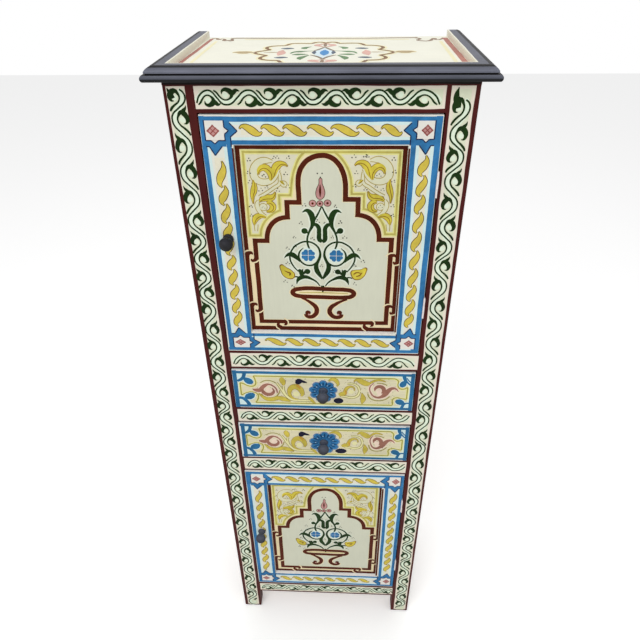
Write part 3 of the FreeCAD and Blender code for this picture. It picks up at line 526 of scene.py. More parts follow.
# Front rails: five pine rails tenoned between the posts, cream with maroon lines along their edges
# and a vine from each end whose leaves turn towards each other near the middle.
RAILS = (
    # name, under and over the vine, left and right end, sway, pitch, last leaf that grows to the
    # right, how the stem starts and ends, where it bends
    ("bottom_front_rail", 72.5, 99.5, -156.8, 159.2, 8.6, 30.0, -10, (14, 15, 8, 5),
     (-139, -112, -81, -52, -23, 6, 37, 68, 99, 128, 150)),
    ("drawer_door_rail", 508.0, 539.0, -156.8, 159.2, 9.6, 30.5, -10, (15, 17, 18, 12),
     (-136, -109, -81, -50, -24, 8, 37, 70, 105, 139)),
    ("drawer_divider_rail", 640.0, 669.4, -156.8, 159.2, 9.0, 30.5, -10, (16, 16, 19, 16),
     (-136, -107, -78, -48, -21, 10, 41, 75, 106, 136)),
    ("door_drawer_rail", 769.8, 799.4, -156.8, 159.4, 9.8, 32.5, -20, (18, 19, 26, 17),
     (-135, -103, -72, -40, -8, 24, 57, 94, 128)),
    ("top_front_rail", 1198.2, 1226.0, -165.0, 157.6, 8.8, 27.5, 0, (15, 15.5, 20, 17.5),
     (-143, -120, -90, -65, -35, -9, 21, 46, 74, 101, 131)),
)
for rail, low, high, left, right, sway, pitch, turn, starts, bends in RAILS:
    def rail_lines(tree, split):
        ends = outside(tree, by_hand(tree, split["X"]), left * MM, right * MM)
        return either(tree, ends, outside(tree, by_hand(tree, split["Z"]), low * MM, high * MM))

    dress(lined_paint(rail + "_paint", GROUND, STRIPE, "across", rail_lines), rail)
    green, pale, light = vine(bends, 1, turn, sway, RAIL_LEAF, pitch, starts)
    middle = (low + high) / 2
    paint = painter(rail, "carcass", front_face(FRAME_Y))
    paint("wash", vine_wash, 0.03,
          [[(-154, middle, 9), (-100, middle, 11), (0, middle, 11.4), (100, middle, 11), (154, middle, 10)]])
    paint("vine_band", vine_pale, 0.07, moved(pale, 0, middle), dots=moved([light], 0, middle)[0])
    paint("vine", vine_green, 0.12, clipped(moved(green, 0, middle), low - 2, high + 2))


# Doors: each frame is two stiles and two rails of pine, tenoned, glued and painted warm white. A
# blue line runs round the outside and another round the panel; they cross in the corners in a
# star with a rose rosette, and a twist of yellow leaves fills each member.
def facing_up(tree):
    """1 on what looks up, 0 on what is upright and -1 on what looks down."""
    normal = add_node(tree, "NewGeometry").outputs["Normal"]
    return add_node(tree, "SeparateXYZ", (), (), {0: normal}).outputs["Z"]


frame_ground, frame_tree, frame_shader = new_finish("door_frame_ground", 0.55, 0.1)
frame_brush = brushed(frame_tree, "dcdcd0", "up", 0.03)
# Faces that look up are painted near white: a painted highlight on the frames' upper edges and ledges.
frame_colour_with_highlight = mixed(frame_tree, above(frame_tree, facing_up(frame_tree), 0.6, 0.2),
                     frame_brush.outputs["Colour"], "fdfdfb")
brush_on(frame_tree, frame_shader, frame_colour_with_highlight, frame_brush)
blue_paint = new_paint("blue_paint", "3070a2", 0.24)
navy_paint = new_paint("navy_paint", "1d2c50", 0.3)
white_paint = new_paint("white_paint", "dfdcd4", 0.03)
cyan_paint = new_paint("cyan_paint", "cbe1df", 0.05)
rose_paint = new_paint("rose_paint", "b98884", 0.16)
rose_shade = new_paint("rose_shade", "8c4a45", 0.2)
maroon_paint = new_paint("maroon_paint", "4d1905", 0.25)
rope_yellow = new_paint("rope_yellow", "cbb64a", 0.14)
rope_wash = new_paint("rope_wash", "dfdac4", 0.05)
outline_brown = new_paint("outline_brown", "48300f", 0.3)

# Corner of a door, from its outer corner inwards and for the upper left one: the white star's
# blue arms, its white ground, the dark edges of both, the rosette's petals and its veins
STAR_RIGHT = [(32, 6), (39.5, 6), (39.5, 10), (49, 20.5), (39.5, 28), (39.5, 34), (32, 34), (32, 24.5),
              (37.5, 20), (32, 15.5)]
STAR_DOWN = [(5, 33), (13, 33), (18, 37.5), (23, 33), (33, 33), (33, 41), (27, 41), (16.5, 53), (10, 41),
             (5, 41)]
STAR_GROUND = ([(6, 7), (32, 7), (32, 33), (6, 33)], [(13, 32.8), (18, 37.3), (23, 32.8)],
               [(31.8, 24.5), (37.3, 20), (31.8, 15.5)])
STAR_EDGES = (
    [(6, 6.5), (6, 33)], [(6, 33), (13, 33)], [(13, 33), (18, 37.5)], [(18, 37.5), (23, 33)],
    [(23, 33), (32, 33)], [(32, 33), (32, 24.5)], [(32, 24.5), (37.5, 20)], [(37.5, 20), (32, 15.5)],
    [(32, 15.5), (32, 6.5)], [(39.5, 10), (49, 20.5)], [(49, 20.5), (39.5, 28)], [(27, 41), (16.5, 53)],
    [(16.5, 53), (10, 41)], [(39.5, 28), (39.5, 41)], [(10, 41), (5.5, 41)],
)
ROSETTE = [(17, 12.8), (20.2, 15.6), (24.8, 20.2), (21.6, 24.2), (17, 27.6), (12.6, 24.6), (9.2, 20.2),
           (13.2, 15.8)]
ROSETTE_VEINS = [[(17 + 3.6 * k - 5.6 * way * j, 20.3 + 3.4 * way * k + 5.4 * j, brush)
                  for j in (-0.8, 0, 0.8)]
                 for way, brush in ((1, 0.7), (-1, 0.6)) for k in (-1, 0, 1)]
# A leaf of the twist from tip to tip: along it, off its middle, brush radius; then where the
# leaves of each member start and end, across its rails and down its stiles
ACROSS_LEAF = [(0, 1.4, 0.4), (0.1, 4.4, 1.4), (0.25, 4.3, 3.1), (0.5, 0.2, 4.5), (0.72, -4, 3.8),
               (0.88, -4.9, 2.0), (1, -2.4, 0.4)]
DOWN_LEAF = [(0, 2.2, 0.4), (0.14, 3.7, 1.7), (0.3, 3.5, 3.5), (0.5, 0.3, 4.7), (0.68, -2.8, 4.4),
             (0.86, -3.6, 2.4), (1, -0.6, 0.4)]
TWISTS = {
    "upper_door": (
        (1172.0, ((-106, -76), (-77.5, -47), (-49, -17.5), (-17, 17.5), (13.5, 51), (47, 79), (79, 106.5))),
        (826.3, ((-95, -60), (-61.5, -32), (-33, -3.5), (-5, 26), (25, 54), (52.5, 80), (79.5, 109))),
        (-136.2, ((1130.5, 1092.5), (1096, 1066), (1069, 1038), (1041, 1012), (1016, 986), (987, 961),
                  (963, 934), (936, 908), (911, 882), (886, 856))),
        (137.6, ((1139, 1110), (1112, 1081), (1084, 1055), (1058.5, 1025.5), (1028.5, 995.5), (998, 965),
                 (968, 934), (939, 908.5), (913, 881), (886, 859)))),
    "lower_door": (
        (482.8, ((-105, -78), (-77.5, -50), (-51, -24.5), (-25, 4), (2, 29), (29.5, 57), (56.5, 83),
                 (82, 110))),
        (129.6, ((-105, -79), (-77, -52), (-53, -29), (-28, -1), (-2, 23), (24, 50), (49, 76), (77, 103))),
        (-135.6, ((444, 406), (408, 378), (380, 349), (351, 319), (321, 296), (298, 272), (275, 248),
                  (251, 220), (223, 191), (194, 160))),
        (140.6, ((447, 413), (415.5, 384), (386, 357), (359, 333), (335, 305), (308, 276), (279, 248),
                 (251, 222), (225, 196), (199, 171)))),
}
# A door's blue lines: both ends of each one, across and up from the door's foot, its width and the way
# to the middle of the frame's member, where a light line follows it
BLUE_LINES = {
    "upper_door": (
        ((-152.4, 1.2), (-154.4, 383.8), 6.6, (1, 0)), ((153.5, 1.2), (152.9, 383.8), 8.0, (-1, 0)),
        ((-119.5, 3), (-121.6, 382), 6.4, (-1, 0)), ((123.4, 3), (121.9, 382), 6.9, (1, 0)),
        ((-157, 379.9), (157, 379.9), 6.7, (0, -1)), ((-157, 4.3), (157, 4.3), 6.0, (0, 1)),
        ((-152, 349.4), (152, 350.4), 6.1, (0, 1)), ((-152, 33.8), (152, 33.8), 5.8, (0, -1))),
    "lower_door": (
        ((-152.9, 1.2), (-153.3, 392.8), 7.4, (1, 0)), ((154.4, 1.2), (154.4, 392.8), 6.8, (-1, 0)),
        ((-119.5, 3), (-119.4, 391), 6.2, (-1, 0)), ((126.0, 3), (125.2, 391), 6.6, (1, 0)),
        ((-157, 389.6), (157, 389.6), 6.2, (0, -1)), ((-157, 4.3), (157, 4.3), 6.0, (0, 1)),
        ((-152, 357), (152, 357.6), 5.6, (0, 1)), ((-152, 36), (152, 36), 5.4, (0, -1))),
}
# How far a corner's star is moved inwards at its outer and its inner side, and the same along the stile,
# for the upper left, lower left, upper right and lower right corner
STAR_SHIFTS = {
    "upper_door": ((0, 0, 0, 0), (4.3, 5.5, 0.7, -5.2), (3.8, 0.8, 0, -2.2), (1.5, -1, 2.6, -1.6)),
    "lower_door": ((4.6, 4.8, 3.0, 1.2), (2.1, 2.0, 0, -4.2), (0, -2.4, -0.6, -0.5), (0, -2.4, 0, 0)),
}
# The maroon line that spills from a panel onto its stiles: how far it ends from the door's foot and
# head, and its outer side at the foot and at the top
SPILL_END = 43
SPILLS = {"upper_door": ((-116.6, -118.5), (118.6, 118.4)), "lower_door": ((-116.5, -116.5), (120.0, 119.4))}


def eased(value, low, high, first, last):
    """A measure moved by the first amount up to low, by the last one from high on."""
    return value + first + (last - first) * min(max((value - low) / (high - low), 0), 1)


# Each door's foot and head, half its width and the height of its rails
DOORS = (("upper_door", 806.0, 1191.0), ("lower_door", 109.0, 503.0))
DOOR_HALF, DOOR_RAIL = 158, 39
for door, base, top in DOORS:
    paint = painter(door, door, front_face(DOOR_Y))
    dress(frame_ground, *(door + member for member in
                          ("_lock_stile", "_hinge_stile", "_top_rail", "_bottom_rail")))
    blues, lights = [], []
    for start, end, width, inward in BLUE_LINES[door]:
        start, end = Vector((start[0], start[1] + base)), Vector((end[0], end[1] + base))
        aside = Vector(inward) * (width / 2 + 1)
        blues.append(band(start, end, width))
        lights.append(band(start + aside, end + aside, 6, -3))
    paint("light_lines", cyan_paint, 0.05, lights)
    stars, edges, squares, petals, veins, backs = [], [], [], [], [], []
    shifts = iter(STAR_SHIFTS[door])
    for x_side in (-1, 1):
        for z_side, z_edge in ((-1, top), (1, base)):
            shift = next(shifts)

            def corner(points):
                return [(x_side * (DOOR_HALF - eased(p[0], 6, 32, shift[0], shift[1])),
                         z_edge + z_side * eased(p[1], 7, 33, shift[2], shift[3])) + tuple(p[2:])
                         for p in points]

            backs.append([(x_side * (DOOR_HALF - across), z_edge + z_side * along)
                          for across, along in ((3, 3), (13, 3), (13, 36), (3, 36))])
            squares += [corner(shape) for shape in STAR_GROUND]
            stars += [corner(STAR_RIGHT), corner(STAR_DOWN)]
            edges += [[p + (0.8,) for p in corner(line)] for line in STAR_EDGES]
            petals.append(corner(ROSETTE))
            veins += [corner(line) for line in ROSETTE_VEINS]
    paint("blue_lines", blue_paint, 0.1, blues, areas=backs)
    paint("spill_lines", maroon_paint, 0.12, areas=[
        [(x, base + SPILL_END), (low_edge, base + SPILL_END),
         (high_edge, top - SPILL_END), (x, top - SPILL_END)]
        for x, (low_edge, high_edge) in zip((-116.1, 116.1), SPILLS[door])])
    paint("corner_grounds", white_paint, 0.15, areas=squares)
    paint("star_arms", blue_paint, 0.18, areas=stars)
    paint("rosettes", rose_paint, 0.19, blobs=petals)
    paint("star_edges", navy_paint, 0.23, edges)
    paint("rosette_veins", rose_shade, 0.21, veins)
    leaves = []
    for number, (line, spans) in enumerate(TWISTS[door]):
        across = number < 2
        for start, end in spans:
            leaf = [(start + (end - start) * t, line + off, r * hand.uniform(0.94, 1.05))
                    for t, off, r in (ACROSS_LEAF if across else DOWN_LEAF)]
            leaves.append(leaf if across else [(up, out, r) for out, up, r in leaf])
    wash = [[(x, base + 56, 6.5), (x, (base + top) / 2, 7), (x, top - 56, 6.5)] for x in (-137, 139)]
    wash += [[(-104, z, 6), (0, z, 6.5), (104, z, 6)] for z in (top - 19.5, base + 18.5)]
    paint("twist_wash", rope_wash, 0.03, wash)
    paint("twist_outlines", outline_brown, 0.09, moved(leaves, thicker=0.9))
    paint("twist", rope_yellow, 0.15, moved(leaves, thicker=-0.1))


# Door panels: a thin pine board held in the frame's grooves. On a grey cream ground, a maroon
# line draws a stepped arch; scrolls fill the corners over it, and under it a footed bowl holds a
# bouquet of curling stems.
panel_ground = new_paint("panel_ground", "cdceba", 0.03, "up")
peach_paint = new_paint("peach_paint", "e4d4ac", 0.06)
spandrel_paint = new_paint("spandrel_paint", "d5d1b7", 0.06)
olive_paint = new_paint("olive_paint", "b4a858", 0.18)
pale_yellow = new_paint("pale_yellow", "d9d68c", 0.08)
scroll_brown = new_paint("scroll_brown", "7f5a1e", 0.3)
scroll_pale = new_paint("scroll_pale", "d3d2b4", 0.06)
scroll_olive = new_paint("scroll_olive", "a5913f", 0.2)
scroll_yellow = new_paint("scroll_yellow", "c9b942", 0.2)
bouquet_green = new_paint("bouquet_green", "162f0b", 0.4)
bouquet_halo = new_paint("bouquet_halo", "d7ddcc", 0.04)
dot_paint = new_paint("dot_paint", "1f241d", 0.3)
petal_edge = new_paint("petal_edge", "1d4c7c", 0.2)

# The arch and the yellow line that follows it, for the upper door; the foot of the one and the top
# of the other lie where each door's panel ends
ARCH_FOOT, FOLLOWER_TOP = 862.5, 1140
ARCH = (
    ((-99, 862.5), (-99, 1007.5)), ((-99, 1007.5), (-81, 1007.5)),
    ((-81, 1007.5), (-79.5, 1020), (-75, 1031), (-68, 1039), (-60, 1043.5), (-49, 1045.5)),
    ((-49, 1045.5), (-49, 1068.5)), ((-49, 1068.5), (-31.5, 1068.5)),
    ((-31.5, 1068.5), (-31.8, 1085), (-32, 1098), (-30, 1112), (-24.5, 1123), (-16, 1131), (0, 1136),
     (13, 1133.6), (23, 1125.5), (30, 1113), (33.5, 1098), (34, 1085), (34, 1073.5)),
    ((34, 1073.5), (52, 1073.5)), ((52, 1073.5), (52, 1050)),
    ((52, 1050), (63, 1047.5), (72, 1042), (79, 1033), (83, 1022), (84, 1011)),
    ((84, 1011), (102.5, 1011)), ((102.5, 1011), (102, 862.5)), ((-99, 862.5), (102, 862.5)),
)
FOLLOWER = (
    ((-105.5, 1016), (-105.5, 1140)), ((-105.5, 1140), (106.5, 1140)), ((106.5, 1140), (106.5, 1020)),
    ((106.5, 1020), (92.5, 1020)), ((92.5, 1020), (90, 1032), (85, 1042), (77, 1051), (68, 1057), (60, 1059)),
    ((60, 1059), (60, 1081.5)), ((60, 1081.5), (42.5, 1081.5)),
    ((42.5, 1081.5), (42, 1096), (39.5, 1110), (34, 1123), (26, 1134), (19, 1140)),
    ((-22, 1140), (-29, 1133), (-35, 1120), (-38.5, 1110), (-40.5, 1100), (-42.5, 1085), (-43.5, 1079)),
    ((-43.5, 1079), (-59.5, 1079)), ((-59.5, 1079), (-59.5, 1056)),
    ((-59.5, 1056), (-66, 1053), (-74, 1047), (-81, 1040), (-85.5, 1033), (-88.5, 1025), (-90, 1016)),
    ((-90, 1016), (-105.5, 1016)),
)


def ruled(runs, width, reach):
    """Brush lines along straight runs and arcs; each passes its corners by the reach."""
    lines = []
    for run in runs:
        if len(run) == 2:
            lines.append(band(run[0], run[1], width, reach, 0.18))
            continue
        points = [Vector(p) for p in run]
        points[0] += (points[0] - points[1]).normalized() * reach
        points[-1] += (points[-1] - points[-2]).normalized() * reach
        lines.append([(p.x, p.y, width / 2) for p in points])
    return lines


# A corner's scrolls over the arch, the left one's, about the middle of the panel
SCROLL_STEMS = [
    [(-66, 1127.5, 1.2), (-73, 1128.8, 3.2), (-81, 1128, 4.2), (-89, 1122, 4.8), (-93, 1112, 4.9),
     (-91, 1103.4, 4.7), (-85.6, 1099.2, 4.4), (-78, 1098, 4.2), (-70.4, 1100.2, 3.8), (-63.6, 1106, 3.0),
     (-57.4, 1116, 1.2)],
    [(-88, 1077, 1.0), (-82, 1079.5, 1.6), (-76, 1083, 1.8), (-66, 1090, 1.8), (-58, 1096, 1.8),
     (-57, 1104, 1.8), (-57, 1112, 0.7)],
    [(-89, 1071, 1.2), (-91.4, 1066, 2.4), (-91, 1060, 2.8), (-87, 1052, 2.2), (-80, 1047.5, 0.8)],
    [(-95, 1034, 2.0), (-95.6, 1029, 2.0), (-95.8, 1023, 1.4)],
]
SCROLL_LEAVES = [
    [(-70.4, 1100.6, 2.0), (-69.0, 1106, 3.4), (-69.8, 1111.6, 4.4), (-73, 1116.4, 4.7), (-78.4, 1119.2, 4.4),
     (-83.4, 1117.4, 3.6), (-86.2, 1113, 2.2), (-86.4, 1109, 0.7)],
    [(-68.2, 1102.4, 1.2), (-65, 1109.6, 3.4), (-63, 1116.6, 4.8), (-59.4, 1122, 4.9), (-53.6, 1124.6, 3.2),
     (-48.8, 1123.6, 1.8), (-45.4, 1120.4, 0.5)],
    [(-94.4, 1101.5, 0.7), (-93.4, 1094, 2.9), (-94.6, 1086, 4.1), (-97, 1077.5, 2.6), (-96.8, 1066, 0.4)],
    [(-57.5, 1100.4, 0.6), (-54.4, 1098, 1.9), (-51.2, 1094.6, 0.7)],
    [(-88, 1069.6, 1.4), (-83.6, 1073, 3.2), (-77, 1074.6, 4.2), (-70.6, 1075.4, 4.4), (-66.6, 1079, 2.4),
     (-64.6, 1084, 0.5)],
    [(-78, 1067.4, 1.4), (-74, 1067.6, 2.9), (-70.2, 1065, 3.7), (-69.2, 1060.6, 4.1), (-72.4, 1055.8, 3.1),
     (-79, 1054, 0.9)],
    [(-80, 1045.4, 1.2), (-87, 1047.4, 3.2), (-93, 1045.6, 4.4), (-96.8, 1040, 3.4), (-97.7, 1032.4, 0.8)],
]
SCROLL_SPECKS = ((-98, 1130), (-63, 1133), (-44, 1133), (-99.5, 1098), (-48.5, 1111), (-79, 1107.5),
                 (-85, 1087), (-61, 1087), (-101, 1062), (-101, 1048), (-46, 1092), (-76, 1091),
                 (-100.4, 1112), (-60, 1133))

# The bouquet's left half, about the middle of the panel
STEMS_LEFT = [
    [(0.3, 1062.5, 1.0), (-5, 1051, 1.3), (-11, 1040, 1.5)],
    [(-27.5, 1053.5, 0.6), (-21, 1056.3, 2.7), (-15.5, 1051.8, 4.1), (-13, 1043, 3.9), (-13.5, 1033, 2.7),
     (-18, 1023, 1.6), (-21.2, 1012, 1.4), (-20.8, 1002, 1.5), (-18.5, 995, 1.2)],
    [(-14.5, 1030, 1.6), (-10.5, 1034.5, 2.6), (-5, 1031, 3.1), (-3.8, 1020, 3.3), (-3.2, 1010, 3.4),
     (0.5, 1007, 2.8)],
    [(-19.5, 1020.5, 1.4), (-22.5, 1022.8, 2.0), (-25, 1024, 1.8)],
    [(-36.5, 956, 0.9), (-44.5, 967, 1.2), (-48.3, 979.5, 1.3), (-44.5, 993, 1.3), (-35, 1002.8, 1.3),
     (-22.5, 1006.8, 1.4), (-9.5, 1002, 1.4), (-3, 991, 1.6), (-4.6, 977, 2.2), (-11, 969, 1.7),
     (-20, 966.6, 1.4), (-29, 970.4, 1.4), (-34.3, 979, 1.4), (-33.6, 989, 1.3), (-27.5, 996.5, 0.5)],
    [(-33, 972.5, 0.8), (-36.8, 978, 2.6), (-42, 983.2, 4.0), (-47, 985.5, 3.6), (-52.6, 983.4, 2.0),
     (-57, 978.6, 0.4)],
    [(-5, 975, 1.8), (-8.6, 967, 3.2), (-8.2, 959, 3.8), (-4.5, 951.5, 3.2), (0.4, 943.5, 1.6)],
    [(-3.5, 930.5, 0.9), (-8.5, 937.5, 1.3), (-16.5, 943, 1.9), (-26, 946.5, 3.2), (-33.5, 944.8, 3.6),
     (-38, 939.5, 2.2), (-39.5, 933.5, 0.6)],
    [(-31, 947, 2.2), (-33, 952.5, 2.2), (-34, 957, 2.0)],
    [(-30, 948.5, 1.6), (-30.5, 955, 2.0), (-29.5, 960, 0.8)],
    [(-29, 951, 1.0), (-25.5, 955, 2.6), (-22.5, 956, 2.6)],
    [(-36, 945.5, 1.4), (-40.5, 946.5, 1.2), (-45, 945, 0.9)],
]
STEM_BALLS = [(-25, 1024, 5), (27, 1024.6, 5), (-22.5, 956, 5), (24, 956, 4.8), (-34, 957, 3.4), (35, 957, 3)]
BUDS = [[(-62, 966), (-54, 961.8), (-46.5, 956.6), (-42.8, 950), (-45.6, 944.2), (-53, 944), (-59.4, 948.6),
         (-62.2, 956)],
        [(45.6, 957), (52, 959.2), (58, 959.8), (66.4, 962.4), (66, 955), (62.8, 948), (56.4, 943.4),
         (49.6, 944), (45.6, 950)]]
BUD_VEINS = [[(-57.5, 957, 0.6), (-53, 954.5, 1.1), (-49, 952, 1.3), (-50.5, 948.6, 0.8)],
             [(48, 952, 1.0), (53, 955, 1.2), (59, 954, 0.8)],
             [(52, 948, 0.8), (57, 950, 1.1), (61, 955, 0.6)]]
FLOWER_LOBES = [(x * u, v, r) for x in (1, -1) for u, v, r in ((3.8, 3.2, 4.3), (3.8, -3.8, 4.3),
                                                               (6.8, 2.6, 3.1), (3.4, 6.0, 3.1),
                                                               (6.8, -3.4, 3.1), (3.4, -6.9, 3.1))]
BOWL = [(-36, 924.6), (-20, 926), (0, 925), (20, 924.4), (38, 923.6), (46.5, 921.2), (49.4, 916.8), (46, 912),
        (36, 909.8), (18, 909.4), (0, 910), (-20, 910.4), (-36, 911.4), (-43.6, 913.6), (-46.6, 918),
        (-43.6, 922.4)]
FEET = [
    [(-33, 908, 1.5), (-25, 904, 2.2), (-17, 898, 3.1), (-10.6, 891, 3.7), (-9.2, 883, 3.8),
     (-12.6, 875.6, 3.7), (-19.5, 871.8, 3.6), (-25.4, 874.2, 3.6), (-26.6, 878, 3.2)],
    [(39, 906, 1.5), (30, 902.6, 2.2), (21, 897, 3.1), (13.6, 890.6, 3.7), (11.4, 882.6, 3.8),
     (15.2, 875, 3.7), (22.6, 871.6, 3.6), (29.4, 874, 3.5), (30.8, 878, 2.9)],
]
TEARDROP = [(-0.8, 1104), (1.2, 1096), (4, 1088), (4.6, 1080.6), (1.8, 1075), (-1.6, 1073.4), (-5, 1075),
            (-7.2, 1080.6), (-6.2, 1088), (-2.8, 1096)]
BOUQUET_SPECKS = ((-24, 1064), (20, 1063), (-30, 1037), (27, 1038), (-40, 1014), (34, 1014), (-51, 996),
                  (55, 994), (-52, 970), (50, 967), (-57, 938), (50, 935), (-40, 1000), (-1, 966), (20, 956),
                  (-6, 1040), (5, 1037), (16, 1015), (-13, 1012), (-46, 930), (62, 975))


# Where two maroon lines hook into each other, on an upright line and on the level one: both hooks,
# and the light lines over them
UPRIGHT_KNOT = (
    [[(-6.5, 2, 3.3), (-3.5, 6, 3.2), (0.6, 5.8, 2.4), (2.2, 3.2, 0.9)],
     [(7.4, -2, 3.3), (5, -6.4, 3.2), (0.8, -6.8, 2.4), (-0.8, -4.2, 0.9)]],
    [[(-12.5, 5, 0.9), (-6, 9.8, 1.1), (1.5, 9.8, 0.8)],
     [(12.5, -4.5, 0.9), (6.4, -9.6, 1.1), (-1.5, -11, 0.8)]])
LEVEL_KNOT = (
    [[(2, 6.5, 3.2), (6, 3.4, 3.0), (5.8, -0.6, 2.2), (3, -2.2, 0.9)],
     [(-2, -6.5, 3.2), (-6, -3.4, 3.0), (-6, 0.6, 2.2), (-3.2, 2.4, 0.9)]],
    [[(4, 11.5, 0.9), (9.8, 5.6, 1.1), (9.8, -1.5, 0.8)],
     [(-4, -11.5, 0.9), (-9.8, -5.6, 1.1), (-9.8, 1.5, 0.8)]])


def knots(low, up):
    """A panel's hooks and the light lines over them."""
    places = [(UPRIGHT_KNOT, x, z + up) for x, z in ((-106.5, 981), (-106.5, 889), (108, 979), (108, 888))]
    places += [(LEVEL_KNOT, x, low + 12) for x in (-66, 74)]
    return [[line for knot, x, z in places for line in moved(knot[kind], x, z)] for kind in (0, 1)]


def specks(places, up, sizes=(0.74, 1.08)):
    marks = []
    for across, high in places:
        for du, dv in ((0, 1.7), (-2.2, -1.0), (2.0, -1.3)):
            marks.append((across + du + hand.uniform(-0.8, 0.8), high + up + dv + hand.uniform(-0.8, 0.8),
                          hand.uniform(*sizes)))
    return marks


